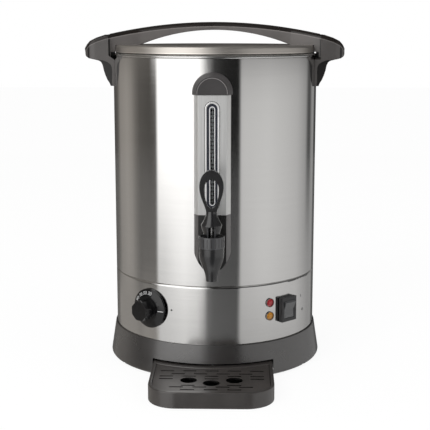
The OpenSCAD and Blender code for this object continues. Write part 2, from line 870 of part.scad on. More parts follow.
module dial_knob() {
    face = dial_seat + dial_rim_t + dial_cone_t;
    color([0.1, 0.1, 0.1]) placed() at_angle(dial_az, dial_z) difference() {
        union() {
            rod_y(dial_r, -dial_seat - dial_rim_t, -dial_seat);
            translate([0, -dial_seat - dial_rim_t, 0]) rotate([90, 0, 0])
                cylinder(r1 = dial_r, r2 = dial_hub_r, h = dial_cone_t);
            translate([0, -face, 0]) rotate([90, 22.5, 0])
                cylinder(r = grip_flats / 2 / cos(22.5), h = grip_l, $fn = octagon_sides);
        }
        rod_y(shaft_r, -dial_seat - shaft_in_knob, -dial_seat + 1);
    }
}

module thermostat_shaft() {
    color("gray") placed() at_angle(dial_az, dial_z)
        rod_y(shaft_r, -dial_seat - shaft_in_knob, -thermo_face + shaft_in_body);
}

// ---------- side handles ----------

// outline of the right-hand grip, seen from the front, as far as its bracket
function grip_top() = [
    [body_r - 6, arch_z(arch_end_r)],
    [arch_end_r, arch_z(arch_end_r)],
    [grip_r - 17.5, arch_z(arch_end_r) - 4],
    [grip_r - 8, arch_z(arch_end_r) - 8.6],
    [grip_r - 3.5, rim_z + 13.2],
    [grip_r - 1, rim_z + 10],
    [grip_r, rim_z + 7],
    [grip_r, rim_z - 0.5],
    [grip_r - 1.8, rim_z - 3.6],
    [grip_r - 6, rim_z - 6.2],
    [grip_r - 13, rim_z - 7.8]
];

// the bracket's middle, with its gusset
function gusset_outline() = concat(grip_top(), [
    [body_r + 17, rim_z - 9.6],
    [body_r + 14, rim_z - 11.6],
    [body_r + 12, rim_z - 15.5],
    [body_r + 10.4, rim_z - 23],
    [body_r + 8.4, rim_z - 29.5],
    [body_r + 5.6, rim_z - 36],
    [body_r + 2.4, rim_z - 41],
    [body_r + 1, grip_tip_z],
    [body_r - 6, grip_tip_z]
]);

// the bracket's front and back flanges, with a narrow leg
function flange_outline() = concat(grip_top(), [
    [body_r + 17, rim_z - 8.2],
    [body_r + 10.6, rim_z - 9.2],
    [body_r + 4.7, rim_z - 11.4],
    [body_r + 0.5, rim_z - 14.8],
    [body_r - 1.2, rim_z - 18.5],
    [body_r - 1.6, rim_z - 25],
    [body_r - 1.2, rim_z - 38],
    [body_r - 2, grip_tip_z],
    [body_r - 6, grip_tip_z]
]);

module grip_plan() {
    corner = 16;
    intersection() {
        union() {
            translate([0, -grip_hl + corner]) square([grip_r + 1, 2 * (grip_hl - corner)]);
            translate([0, -grip_hl]) square([grip_r - corner, 2 * grip_hl]);
            for (s = [-1, 1]) translate([grip_r - corner, s * (grip_hl - corner)]) circle(corner);
        }
        translate([0, -far / 2]) square([far, far]);
    }
}

module side_grip() {
    groove_end = asin((lug_tab_hw + hook_clear) / hook_r) + lock_turn;
    difference() {
        intersection() {
            union() {
                slab_y(grip_hl - grip_flange) polygon(gusset_outline());
                slab_y(grip_hl + 1) polygon(flange_outline());
            }
            translate([0, 0, grip_tip_z - 1]) linear_extrude(far) grip_plan();
        }
        // seat on the shell
        cylinder(r = body_r + seat_gap, h = far * 2);
        // room for the lid's arms and hooks
        translate([0, 0, groove_z]) cylinder(r = lug_wall_r, h = far);
        // entry slot for the hook
        translate([0, -lug_tab_hw - hook_clear, groove_z])
            cube([hook_r + hook_clear, 2 * (lug_tab_hw + hook_clear), far]);
        // groove under the lip, on the side that the lid turns to
        translate([0, 0, groove_z])
            rotate_extrude(angle = groove_end) square([hook_r + hook_clear, groove_h]);
        // finger hollow under the grip
        translate([body_r + finger_in, -grip_hl + finger_end_wall, grip_tip_z])
            cube([
                grip_reach - finger_in - finger_wall, 2 * (grip_hl - finger_end_wall),
                rim_z + finger_top - grip_tip_z
            ]);
        for (y = [-handle_screw_y, handle_screw_y])
            rod_x(handle_screw_r, 0, body_r + screw_hole_l, y, handle_screw_z);
    }
}

module side_handle_right() {
    color([0.16, 0.14, 0.13]) placed() side_grip();
}

module side_handle_left() {
    color([0.16, 0.14, 0.13]) placed() rotate([0, 0, 180]) side_grip();
}

module handle_backing_plates() {
    color("gray") placed() for (s = [0, 180]) rotate([0, 0, s]) difference() {
        intersection() {
            translate([0, 0, handle_screw_z - backing_h / 2]) cylinder(r = backing_r, h = backing_h);
            translate([0, -backing_hw, 0]) cube([far, 2 * backing_hw, far * 2]);
        }
        cylinder(r = backing_r - backing_t, h = far * 2);
        for (y = [-handle_screw_y, handle_screw_y])
            rod_x(handle_screw_r + hole_gap, 0, far, y, handle_screw_z);
    }
}

module handle_screws() {
    head_x = sqrt(pow(backing_r - backing_t, 2) - pow(handle_screw_y + screw_head_r, 2));
    color("gray") placed() for (s = [0, 180]) rotate([0, 0, s])
    for (y = [-handle_screw_y, handle_screw_y]) {
        rod_x(screw_head_r, head_x - screw_head_h, head_x, y, handle_screw_z);
        rod_x(handle_screw_r, head_x - eps, body_r + screw_bite, y, handle_screw_z);
    }
}

// ---------- gauge ----------

// plan of the gauge cover and the tap holder, open at the back
module panel_plan(inset) {
    hw = panel_hw - inset;
    face_hw = panel_face_hw - inset * 0.7;
    face = face_y - inset;
    polygon([
        [-hw, -body_r + panel_in], [-hw, -bevel_y], [-face_hw, -face],
        [face_hw, -face], [hw, -bevel_y], [hw, -body_r + panel_in]
    ]);
}

module off_shell() {
    translate([0, 0, -1]) cylinder(r = body_r + seat_gap, h = far * 2);
}

module gauge_cover() {
    color("gainsboro") placed() difference() {
        translate([0, 0, cover_z]) linear_extrude(cover_top_z - cover_z) difference() {
            panel_plan(0);
            panel_plan(1);
        }
        off_shell();
        translate([0, -face_y, 0]) slab_y(4) stadium(window_hw, window_low_z, window_top_z);
    }
}

module gauge_scale() {
    back = -face_y + 1;
    color("midnightblue") placed() difference() {
        translate([-scale_hw, back, scale_low_z]) cube([2 * scale_hw, scale_t, scale_top_z - scale_low_z]);
        translate([0, back, 0])
            slab_y(scale_t + 1)
                stadium(scale_slot_hw, window_low_z + scale_margin, window_top_z - scale_margin);
    }
}

module gauge_tube() {
    color("lightcyan") placed() translate([0, -tube_y, tube_low_z]) difference() {
        cylinder(r = tube_r, h = tube_top_z - tube_low_z);
        translate([0, 0, -1]) cylinder(r = tube_r - tube_t, h = tube_top_z - tube_low_z + 2);
    }
}

module gauge_seals() {
    color("white") placed() for (z = [low_seal_z, top_seal_z]) translate([0, -tube_y, z]) difference() {
        cylinder(r = gauge_seal_r, h = seal_h);
        translate([0, 0, -1]) cylinder(r = tube_r, h = seal_h + 2);
    }
}

module gauge_cap() {
    color([0.14, 0.13, 0.12]) placed() difference() {
        union() {
            intersection() {
                union() {
                    translate([0, 0, cap_z]) rotate([90, 0, 0]) {
                        cylinder(r = cap_r, h = cap_straight);
                        translate([0, 0, cap_straight])
                            cylinder(r1 = cap_r, r2 = cap_face_r + cap_ease, h = face_y - cap_straight);
                        cylinder(r = cap_face_r, h = face_y + 1);
                    }
                    translate([-cap_r, -cap_straight, cover_top_z])
                        cube([2 * cap_r, cap_straight, cap_z - cover_top_z]);
                }
                translate([-far, -far, cover_top_z]) cube([2 * far, 2 * far, far]);
            }
            translate([0, 0, cover_top_z - cap_plug_h]) linear_extrude(cap_plug_h) panel_plan(1.2);
        }
        off_shell();
        // the tube's socket and its seal
        translate([0, -tube_y, 0]) {
            cylinder(r = tube_r + 0.1, h = tube_top_z + 1);
            translate([0, 0, top_seal_z]) cylinder(r = gauge_seal_r, h = seal_h);
        }
        rod_y(handle_screw_r, -body_r - screw_hole_l, 0, 0, cap_screw_z);
    }
}

module gauge_cap_screw() {
    head_y = sqrt(shell_ri * shell_ri - screw_head_r * screw_head_r);
    color("gray") placed() {
        rod_y(screw_head_r, -head_y, -head_y + screw_head_h, 0, cap_screw_z);
        rod_y(handle_screw_r, -body_r - screw_bite, -head_y + eps, 0, cap_screw_z);
    }
}

// ---------- tap ----------

module tap_holder() {
    side = [for (i = [0:8]) [
        panel_hw - (panel_hw - holder_foot_hw) * pow(i / 8, holder_bend),
        cover_z - holder_waist - holder_curve * i / 8
    ]];
    color([0.14, 0.13, 0.12]) placed() difference() {
        intersection() {
            translate([0, 0, holder_z - 1]) linear_extrude(cover_z - holder_z + 1) panel_plan(0);
            slab_y(far) polygon(concat(
                [[panel_hw, cover_z], [-panel_hw, cover_z]],
                [for (p = side) [-p[0], p[1]]],
                [for (i = [8:-1:0]) side[i]]
            ));
        }
        off_shell();
        rod_y(shank_r, -far, 0, 0, tap_z);
        // water way from the shank up to the gauge tube
        translate([0, -tube_y, tap_z]) cylinder(r = tube_r - tube_t, h = far);
        translate([0, -tube_y, tube_low_z]) cylinder(r = tube_r + 0.1, h = far);
        translate([0, -tube_y, low_seal_z]) cylinder(r = gauge_seal_r, h = seal_h);
    }
}

// outer radius of the tap's body at height z
function tap_body_r(z) = nozzle_r + (tap_r - nozzle_r) * ease((z - nozzle_z - 1.5) / 34);

module tap_body() {
    steps = 16;
    step_h = (bonnet_z - nozzle_z) / steps;
    color([0.16, 0.16, 0.17]) placed() difference() {
        union() {
            translate([0, -tap_y, 0]) rotate_extrude() polygon(concat(
                [[0, nozzle_z]],
                [for (i = [0:steps]) let (z = nozzle_z + step_h * i) [tap_body_r(z), z]],
                [[neck_r, bonnet_z], [neck_r, bonnet_z + neck_h], [0, bonnet_z + neck_h]]
            ));
            rod_y(shank_r + 1.5, -tap_y, -face_y - tap_flange_t + eps, 0, tap_z);
            rod_y(tap_flange_r, -face_y - tap_flange_t, -face_y, 0, tap_z);
            rod_y(shank_r, -face_y - eps, -shank_end_y, 0, tap_z);
        }
        translate([0, -tap_y, nozzle_z - 1]) cylinder(r = nozzle_bore_r, h = seat_z - nozzle_z + 2);
        translate([0, -tap_y, seat_z]) cylinder(r = chamber_r, h = far);
        rod_y(shank_r - 3, -tap_y, 0, 0, tap_z);
        translate([0, -tube_y, tap_z]) cylinder(r = tube_r - tube_t, h = shank_r + 1);
    }
}

module shank_spacer() {
    color("gray") placed() difference() {
        rod_y(shank_r + 4, -body_r, 0, 0, tap_z);
        rod_y(shank_r + 0.1, -far, 1, 0, tap_z);
        cylinder(r = tank_ro, h = far);
        difference() {
            cylinder(r = far, h = far);
            translate([0, 0, -1]) cylinder(r = shell_ri, h = far + 2);
        }
    }
}

module shank_washer() {
    color("white") placed() difference() {
        intersection() {
            rod_y(washer_r, -tank_ri - 1, -tank_ri + washer_t, 0, tap_z);
            translate([0, 0, tank_floor_z]) cylinder(r = tank_ri, h = far, $fn = 720);
        }
        rod_y(shank_r, -far, 1, 0, tap_z);
    }
}

module shank_nut() {
    color("gainsboro") placed() difference() {
        translate([0, -tank_ri + washer_t, tap_z]) rotate([-90, 30, 0])
            cylinder(r = nut_flats / sqrt(3), h = nut_t, $fn = 6);
        rod_y(shank_r, -far, 1, 0, tap_z);
    }
}

module tap_bonnet() {
    color([0.16, 0.16, 0.17]) placed() translate([0, -tap_y, 0]) difference() {
        translate([0, 0, bonnet_z]) cylinder(r = bonnet_r, h = bonnet_h);
        translate([0, 0, bonnet_z - 1]) cylinder(r = neck_r, h = neck_h + 1);
        translate([0, 0, bonnet_z]) cylinder(r = chamber_r, h = bonnet_floor_z - bonnet_top_t - bonnet_z);
        translate([0, 0, bonnet_floor_z]) cylinder(r = bonnet_wall_r, h = bonnet_h);
        cylinder(r = stem_r + run_fit, h = far);
    }
}

module tap_stem() {
    color("silver") placed() translate([0, -tap_y, 0]) difference() {
        union() {
            translate([0, 0, cup_z + 2]) cylinder(r = stem_r, h = stem_top_z - cup_z - 2);
            translate([0, 0, cup_z + 2]) cylinder(r = stem_r + 2, h = 1.5);
        }
        rod_x(pin_r + run_fit, -stem_r - 1, stem_r + 1, 0, pin_z);
    }
}

module seat_cup() {
    color("white") placed() translate([0, -tap_y, cup_z]) difference() {
        union() {
            cylinder(r1 = cup_r - 1, r2 = cup_r, h = 1);
            translate([0, 0, 1]) cylinder(r = cup_r, h = 2.5);
            translate([0, 0, 3.5]) cylinder(r = stem_r + 3.2, h = cup_h - 3.5);
        }
        translate([0, 0, 2]) cylinder(r = stem_r + 2, h = 1.5);
        translate([0, 0, 3]) cylinder(r = stem_r, h = cup_h);
    }
}

// a round-wire coil swept along its helix
spring_low_z = cup_z + cup_h + spring_wire;
spring_high_z = bonnet_floor_z - bonnet_top_t - spring_wire;
spring_sides = 6;
spring_steps = 16;

function coil_ring(i) =
    let (
        n = spring_turns * spring_steps,
        a = 360 * i / spring_steps,
        z = spring_low_z + (spring_high_z - spring_low_z) * i / n
    )
    [for (j = [0:spring_sides - 1])
        let (b = 360 * j / spring_sides, r = spring_r + spring_wire * cos(b))
        [r * cos(a), r * sin(a), z + spring_wire * sin(b)]];

module tap_spring() {
    n = spring_turns * spring_steps;
    m = spring_sides;
    points = [for (i = [0:n]) for (p = coil_ring(i)) p];
    sides = [for (i = [0:n - 1]) for (j = [0:m - 1])
        [i * m + j, (i + 1) * m + j, (i + 1) * m + (j + 1) % m, i * m + (j + 1) % m]];
    ends = [[for (j = [0:m - 1]) j], [for (j = [m - 1:-1:0]) n * m + j]];
    color("silver") placed() translate([0, -tap_y, 0]) polyhedron(points, concat(sides, ends));
}

// turned section of the lever's foot and flare
function lever_section() = concat(
    [
        [0, foot_z], [foot_cam_r, foot_z], [foot_cam_r + skirt_step, foot_z + skirt_rise],
        [flare_r, flare_z - lip_t], [flare_r, flare_z]
    ],
    [for (i = [1:8]) [
        flare_r - (flare_r - neck_hw) * sin(90 * i / 8), flare_z + (neck_z - flare_z) * i / 8
    ]],
    [[0, neck_z]]
);

// points of the loop's right edge: round over its widest place, tapered down to the neck
function loop_edge() = concat(
    [for (i = [0:loop_steps]) [
        loop_hw * sin(90 * i / loop_steps), loop_z + (lever_top_z - loop_z) * cos(90 * i / loop_steps)
    ]],
    [for (i = [1:loop_steps]) [
        neck_hw + (loop_hw - neck_hw) * pow(cos(90 * i / loop_steps), loop_taper),
        loop_z - (loop_z - neck_z) * i / loop_steps
    ]],
    [[neck_hw, neck_z - neck_sunk]]
);

// egg-shaped finger hole
function hole_edge() = [for (i = [0:2 * loop_steps - 1]) let (
    turn = 180 * i / loop_steps,
    reach = cos(turn) > 0 ? hole_top_z - hole_z : hole_z - hole_low_z
) [hole_hw * sin(turn), hole_z + reach * cos(turn)]];

module lever_loop() {
    difference() {
        for (s = [0, 1]) mirror([s, 0]) polygon(concat(loop_edge(), [[0, neck_z - neck_sunk]]));
        polygon(hole_edge());
    }
}

module tap_lever() {
    color([0.14, 0.14, 0.15]) placed() translate([0, -tap_y, 0]) difference() {
        union() {
            rotate_extrude() polygon(lever_section());
            slab_y(loop_t / 2) lever_loop();
        }
        translate([-lever_slot_hw, -flare_r - 1, foot_z - 1])
            cube([2 * lever_slot_hw, 2 * flare_r + 2, lever_slot_top_z - foot_z + 1]);
        rod_x(pin_r, -flare_r - 1, flare_r + 1, 0, pin_z);
    }
}

module lever_pin() {
    color("silver") placed() rod_x(pin_r, -foot_cam_r - 1.4, foot_cam_r + 1.4, -tap_y, pin_z);
}

// ---------- lid ----------

module steam_holes() {
    translate([steam_x, steam_y, 0]) for (i = [0:4])
        rotate([0, 0, 72 * i]) translate([steam_ring_r, 0, 0]) cylinder(r = steam_r, h = far * 2);
}

module lid_disc() {
    edge_c = [lid_r - lid_edge_r, lid_top_z - lid_edge_r];
    color("silver") placed() difference() {
        rotate_extrude() {
            ring_rect(lid_r - sheet_t, lid_r, lid_z, lid_top_z - lid_edge_r);
            difference() {
                intersection() {
                    translate(edge_c) circle(lid_edge_r);
                    translate(edge_c) square(lid_edge_r);
                }
                translate(edge_c) circle(lid_edge_r - sheet_t);
            }
            ring_rect(0, lid_r - lid_edge_r, lid_top_z - sheet_t, lid_top_z);
        }
        steam_holes();
        lid_screw_places() cylinder(r = lid_screw_r + hole_gap, h = far * 2);
    }
}

module lid_screw_places() {
    for (sx = [-1, 1], sy = [-1, 1]) translate([sx * lid_screw_x, sy * lid_screw_y, 0]) children();
}

module lid_liner() {
    color("silver") placed() difference() {
        rotate_extrude() {
            ring_rect(liner_r - sheet_t, lid_r - sheet_t, lid_z, lid_z + sheet_t);
            ring_rect(liner_r - sheet_t, liner_r, liner_z, lid_z + sheet_t);
            ring_rect(0, liner_r, liner_z, liner_z + sheet_t);
        }
        steam_holes();
    }
}

module lid_seal() {
    color("ivory") placed() rotate_extrude() {
        ring_rect(liner_r, lid_r - 0.5, seal_z, lid_z);
        ring_rect(liner_r, tank_ri - seal_gap - 0.2, liner_z, lid_z);
    }
}

// arched bar with its two arms, bayonet tabs and hooks
module lid_handle() {
    low_top = arch_top_z - arch_t;
    foot_x = sqrt(pow(arch_low_r, 2) - pow(arch_low_r - (low_top - lid_top_z), 2));
    half = arch_end_r + 2;
    n = 24;
    color([0.16, 0.14, 0.13]) placed() difference() {
        union() {
            // bar and arms, shaped from the front and from above
            intersection() {
                slab_y(arch_end_hw + 1) polygon(concat(
                    [for (i = [-n:n]) [half * i / n, arch_z(half * i / n)]],
                    [[half, tab_z], [tab_in_r, tab_z], [tab_in_r, arm_z]],
                    [[foot_x + 10, arm_z], [foot_x + 10, lid_top_z]],
                    [for (i = [n:-1:-n]) [foot_x * i / n, low_top - sag(arch_low_r, foot_x * i / n)]],
                    [[-foot_x - 10, lid_top_z], [-foot_x - 10, arm_z]],
                    [[-tab_in_r, arm_z], [-tab_in_r, tab_z], [-half, tab_z]]
                ));
                linear_extrude(far * 2) polygon([
                    [-half, -arch_end_hw], [-foot_x, -arch_hw - 3], [0, -arch_hw], [foot_x, -arch_hw - 3],
                    [half, -arch_end_hw], [half, arch_end_hw], [foot_x, arch_hw + 3], [0, arch_hw],
                    [-foot_x, arch_hw + 3], [-half, arch_end_hw]
                ]);
                cylinder(r = arch_end_r, h = far * 2);
            }
            // bayonet tabs and hooks
            for (s = [0, 180]) rotate([0, 0, s]) intersection() {
                translate([tab_in_r, -lug_tab_hw, tab_z])
                    cube([hook_r - tab_in_r + 1, 2 * lug_tab_hw, arm_z - tab_z + 1]);
                union() {
                    cylinder(r = arch_end_r, h = far * 2);
                    translate([0, 0, tab_z]) cylinder(r = hook_r, h = hook_h);
                }
            }
        }
        // room for the lid and for the rim's bead
        translate([0, 0, arm_z - 1]) cylinder(r = lid_r + arm_gap, h = lid_top_z - arm_z + 1);
        lid_screw_places() cylinder(r = lid_screw_r, h = lid_top_z + lid_screw_l + 1);
    }
}

module lid_screws() {
    color("gray") placed() lid_screw_places() {
        translate([0, 0, lid_top_z - sheet_t - lid_screw_head_h])
            cylinder(r = lid_screw_head_r, h = lid_screw_head_h);
        translate([0, 0, lid_top_z - sheet_t - eps]) cylinder(r = lid_screw_r, h = lid_screw_l);
    }
}

// ---------- drip tray ----------

// plan of the tray, moved in by d at the sides and front and by back at its curved rear
module tray_plan(d, back) {
    hw = tray_hw - d;
    front = tray_front - d;
    corner = tray_corner - d;
    difference() {
        union() {
            translate([-hw, -front + corner]) square([2 * hw, front - corner]);
            translate([-hw + corner, -front]) square([2 * (hw - corner), front]);
            for (s = [-1, 1]) translate([s * (hw - corner), -front + corner]) circle(corner);
        }
        circle(tray_rear_r + back);
        translate([-far, -body_r / 2]) square([2 * far, far]);
    }
}

module drip_tray() {
    inner = tray_rim + tray_ledge;
    color("dimgray") placed() {
        difference() {
            linear_extrude(tray_h) tray_plan(0, 0);
            translate([0, 0, tray_t])
                linear_extrude(grate_z - tray_t + eps) tray_plan(inner, tray_back + tray_ledge);
            translate([0, 0, grate_z]) linear_extrude(tray_h) tray_plan(tray_rim, tray_back);
        }
        for (s = [-1, 1]) intersection() {
            translate([s * tongue_x - tongue_w / 2, -tongue_root_r, tongue_z])
                cube([tongue_w, tongue_root_r, tongue_t]);
            difference() {
                translate([0, 0, tongue_z]) cylinder(r = tongue_root_r, h = tongue_t);
                translate([0, -guide_y + guide_l + 2 + far / 2, 0]) cube([far, far, far], center = true);
            }
        }
    }
}

module drip_grate() {
    color("gray") placed() translate([0, 0, grate_z]) linear_extrude(grate_t) difference() {
        tray_plan(tray_rim + grate_gap, tray_back + grate_gap);
        for (row = slot_rows) for (i = [0:row[1] - 1])
            translate([(i - (row[1] - 1) / 2) * slot_pitch * row[2], -tray_front + row[0]])
                rotate([0, 0, 90]) stadium_flat();
        for (s = [-1, 1]) translate([s * drain_x, -drain_y]) circle(drain_r);
        translate([0, -drain_mid_y]) circle(drain_r);
    }
}

module stadium_flat() {
    stadium(slot_w / 2, -slot_l / 2, slot_l / 2);
}

module tray_guides() {
    outer_w = tongue_w + 2 * guide_wall;
    color("gray") placed() for (s = [-1, 1]) difference() {
        translate([s * tongue_x - outer_w / 2, -guide_y, tongue_z - 1.6])
            cube([outer_w, guide_l, plate_z - tongue_z + 1.6]);
        translate([s * tongue_x - tongue_w / 2 - guide_gap, -guide_y - 1, tongue_z - guide_gap])
            cube([tongue_w + 2 * guide_gap, guide_l + 2, tongue_t + 2 * guide_gap]);
    }
}

outer_shell();
inner_tank();
control_band();
base_ring();
base_plate();
rubber_feet();
base_screws();
tie_rods();
tie_nuts();
heat_spreader();
heating_element();
thermostat();
thermostat_bulb();
boil_dry_cutout();
reset_button();
terminal_block();
wiring();
cord_gland();
gland_nut();
switch_housing();
switch_rocker();
lamp_bodies();
heating_lamp_lens();
warm_lamp_lens();
dial_knob();
thermostat_shaft();
side_handle_left();
side_handle_right();
handle_backing_plates();
handle_screws();
gauge_cover();
gauge_cap();
gauge_cap_screw();
gauge_scale();
gauge_tube();
gauge_seals();
tap_holder();
tap_body();
shank_spacer();
shank_washer();
shank_nut();
tap_bonnet();
tap_stem();
seat_cup();
tap_spring();
tap_lever();
lever_pin();
lid_disc();
lid_liner();
lid_seal();
lid_handle();
lid_screws();
drip_tray();
drip_grate();
tray_guides();
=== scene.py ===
"""Hot water urn: the looks of each part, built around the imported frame."""

import math

import bpy
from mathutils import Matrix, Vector


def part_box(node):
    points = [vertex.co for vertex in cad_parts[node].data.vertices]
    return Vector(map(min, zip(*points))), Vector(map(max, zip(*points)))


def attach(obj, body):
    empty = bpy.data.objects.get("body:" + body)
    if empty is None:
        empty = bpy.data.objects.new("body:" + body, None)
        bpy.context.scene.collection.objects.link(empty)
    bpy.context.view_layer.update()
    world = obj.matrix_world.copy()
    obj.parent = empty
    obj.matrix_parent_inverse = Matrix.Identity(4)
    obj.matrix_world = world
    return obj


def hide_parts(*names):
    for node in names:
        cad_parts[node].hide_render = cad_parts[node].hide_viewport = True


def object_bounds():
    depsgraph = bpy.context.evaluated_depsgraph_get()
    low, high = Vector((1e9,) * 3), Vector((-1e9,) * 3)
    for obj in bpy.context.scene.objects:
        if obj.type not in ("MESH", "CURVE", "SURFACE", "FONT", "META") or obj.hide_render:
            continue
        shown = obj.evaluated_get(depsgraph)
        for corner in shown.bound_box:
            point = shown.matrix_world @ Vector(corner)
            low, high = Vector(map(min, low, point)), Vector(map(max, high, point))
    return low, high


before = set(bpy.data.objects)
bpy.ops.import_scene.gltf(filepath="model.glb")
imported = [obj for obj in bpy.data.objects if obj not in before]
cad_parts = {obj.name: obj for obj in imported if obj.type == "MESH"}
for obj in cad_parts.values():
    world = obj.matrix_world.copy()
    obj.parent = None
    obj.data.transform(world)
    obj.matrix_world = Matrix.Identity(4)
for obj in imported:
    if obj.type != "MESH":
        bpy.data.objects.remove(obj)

bl_info = {
    "name": "Hot water urn",
    "version": (1, 0, 0),
    "blender": (4, 5, 0),
    "location": "3D View > Sidebar > Urn",
    "description": "Dresses the urn's frame with its visible parts, finishes and stage",
    "category": "Object",
}

MM = 0.001
SHELL_LOW, SHELL_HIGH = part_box("outer_shell")
AXIS_Y = (SHELL_LOW.y + SHELL_HIGH.y) / 2
BODY_R = (SHELL_HIGH.x - SHELL_LOW.x) / 2
CAD_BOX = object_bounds()
DIAL_AZ = math.radians(-36.5)
MERGE_GAP = 1e-6
SMOOTH_ANGLE = math.radians(35)
SEAM_ANGLE = math.radians(0.2)
LETTER_DEPTH = 0.12 * MM

# the handles' top line: distances from the middle and falls below the crown, in millimetres
HANDLE_FALLS = (
    (0, 0), (30, 0.7), (60, 2.7), (90, 6.1), (120, 10.8), (139, 14.6), (152.6, 17.6), (165, 21.6),
    (174.5, 26.2), (179, 30.7), (181.5, 33.9), (190, 50))


# ---------- sizes and colours ----------


def tint(name, description, default):
    """A colour that a user can change."""
    return bpy.props.FloatVectorProperty(
        name=name, description=description, subtype="COLOR", default=default, min=0, max=1)


class UrnSizes(bpy.types.PropertyGroup):
    plastic_edge: bpy.props.FloatProperty(
        name="Plastic edge", description="Rounding of the moulded edges",
        default=0.0012, min=0.0003, max=0.002, unit="LENGTH")
    tray_edge: bpy.props.FloatProperty(
        name="Tray edge", description="Rounding of the drip tray's edges",
        default=0.0014, min=0.0005, max=0.002, unit="LENGTH")
    fine_edge: bpy.props.FloatProperty(
        name="Fine edge", description="Rounding of small parts",
        default=0.0005, min=0.0002, max=0.001, unit="LENGTH")
    arch_crest: bpy.props.FloatProperty(
        name="Arch crest", description="Rounding of the lid handle's upper edges",
        default=0.0060, min=0.001, max=0.007, unit="LENGTH")
    grip_crest: bpy.props.FloatProperty(
        name="Grip crest", description="Rounding of the side handles' upper edges",
        default=0.0031, min=0.001, max=0.004, unit="LENGTH")
    number_height: bpy.props.FloatProperty(
        name="Number height", description="Height of the numbers on the dial",
        default=0.0068, min=0.003, max=0.008, unit="LENGTH")
    tick_pitch: bpy.props.FloatProperty(
        name="Ladder pitch", description="Spacing of the marks behind the level tube",
        default=0.0051, min=0.003, max=0.01, unit="LENGTH")


class UrnColours(bpy.types.PropertyGroup):
    steel: tint("Steel", "Brushed steel of the body", (0.76, 0.755, 0.745))
    lid_steel: tint("Lid steel", "Satin steel of the lid", (0.72, 0.68, 0.63))
    gauge_steel: tint("Gauge steel", "Steel of the gauge cover", (0.90, 0.90, 0.89))
    handle: tint("Handle plastic", "Sides of the lid handle and grips", (0.056, 0.052, 0.050))
    # painted shade: the dark tone laid on the handles' upward faces and along their top line
    crown: tint("Crown painted shade", "Upper faces of the lid handle and grips", (0.016, 0.012, 0.010))
    base: tint("Base plastic", "Base ring", (0.034, 0.031, 0.030))
    tray: tint("Tray plastic", "Drip tray", (0.052, 0.046, 0.043))
    tap: tint("Tap plastic", "Tap body, bonnet and lever", (0.016, 0.016, 0.017))
    cap: tint("Gauge plastic", "Gauge cap and tap holder", (0.032, 0.030, 0.030))
    black: tint("Gloss black", "Dial and switch", (0.012, 0.012, 0.013))
    red: tint("Red lens", "Heating lamp", (0.62, 0.045, 0.055))
    amber: tint("Amber lens", "Keep-warm lamp", (0.78, 0.33, 0.03))
    scale: tint("Scale", "Dark plate behind the gauge window", (0.020, 0.024, 0.040))
    mark: tint("Marks", "Printed marks", (0.80, 0.80, 0.80))


class UrnStage(bpy.types.PropertyGroup):
    floor: tint("Floor", "Pale floor", (0.90, 0.90, 0.90))
    fill: bpy.props.FloatProperty(
        name="Fill", description="Strength of the even light from all round",
        default=0.50, min=0, max=1, subtype="FACTOR")
    key: bpy.props.FloatProperty(
        name="Key", description="Power of the large soft lamp in front",
        default=20.0, min=0, max=100, unit="POWER")
    distance: bpy.props.FloatProperty(
        name="Camera distance", description="From the body's axis to the camera",
        default=1.5058, min=1, max=3, unit="LENGTH")
    height: bpy.props.FloatProperty(
        name="Camera height", description="Height of the camera above the floor",
        default=0.4746, min=0, max=2, unit="LENGTH")
    azimuth: bpy.props.FloatProperty(
        name="Camera azimuth", description="Angle of the camera from the front",
        default=math.radians(1.3), subtype="ANGLE")
    pitch: bpy.props.FloatProperty(
        name="Camera pitch", description="Downward tilt of the camera",
        default=math.radians(10.217), subtype="ANGLE")
    lens: bpy.props.FloatProperty(
        name="Lens", description="Focal length of the camera",
        default=86.99, min=20, max=200, subtype="DISTANCE_CAMERA")


# ---------- modelling ----------


def clear_selection():
    """Leaves edit mode and deselects everything."""
    if bpy.context.object and bpy.context.object.mode != "OBJECT":
        bpy.ops.object.mode_set(mode="OBJECT")
    bpy.ops.object.select_all(action="DESELECT")


def pick(piece):
    """Makes this the one selected and active object."""
    clear_selection()
    piece.select_set(True)
    bpy.context.view_layer.objects.active = piece


def edit(piece):
    """Opens a piece in edit mode with all of it selected."""
    pick(piece)
    bpy.ops.object.mode_set(mode="EDIT")
    bpy.ops.mesh.select_all(action="SELECT")


def leave_edit():
    """Goes back to object mode."""
    bpy.ops.object.mode_set(mode="OBJECT")


def draw(name, path, closed=False):
    """A line through the points of a path, left open in edit mode."""
    clear_selection()
    bpy.ops.mesh.primitive_plane_add(size=0.01, location=(0, 0, 0))
    piece = bpy.context.object
    piece.name = piece.data.name = name
    bpy.ops.object.mode_set(mode="EDIT")
    bpy.ops.mesh.select_all(action="SELECT")
    bpy.ops.mesh.merge(type="CENTER")
    bpy.ops.transform.translate(value=path[0])
    stops = list(path) + ([path[0]] if closed else [])
    for here, there in zip(stops, stops[1:]):
        step = [b - a for a, b in zip(here, there)]
        bpy.ops.mesh.extrude_vertices_move(TRANSFORM_OT_translate={"value": step})
    bpy.ops.mesh.select_all(action="SELECT")
    if closed:
        bpy.ops.mesh.remove_doubles(threshold=MERGE_GAP)
    return piece


def turned(name, profile, segments=96, closed=True):
    """A profile of radius and height turned about Z."""
    piece = draw(name, [(r, 0, z) for r, z in profile], closed)
    bpy.ops.mesh.spin(steps=segments, angle=2 * math.pi, center=(0, 0, 0), axis=(0, 0, 1))
    bpy.ops.mesh.select_all(action="SELECT")
    bpy.ops.mesh.remove_doubles(threshold=MERGE_GAP)
    bpy.ops.mesh.normals_make_consistent(inside=False)
    leave_edit()
    return piece


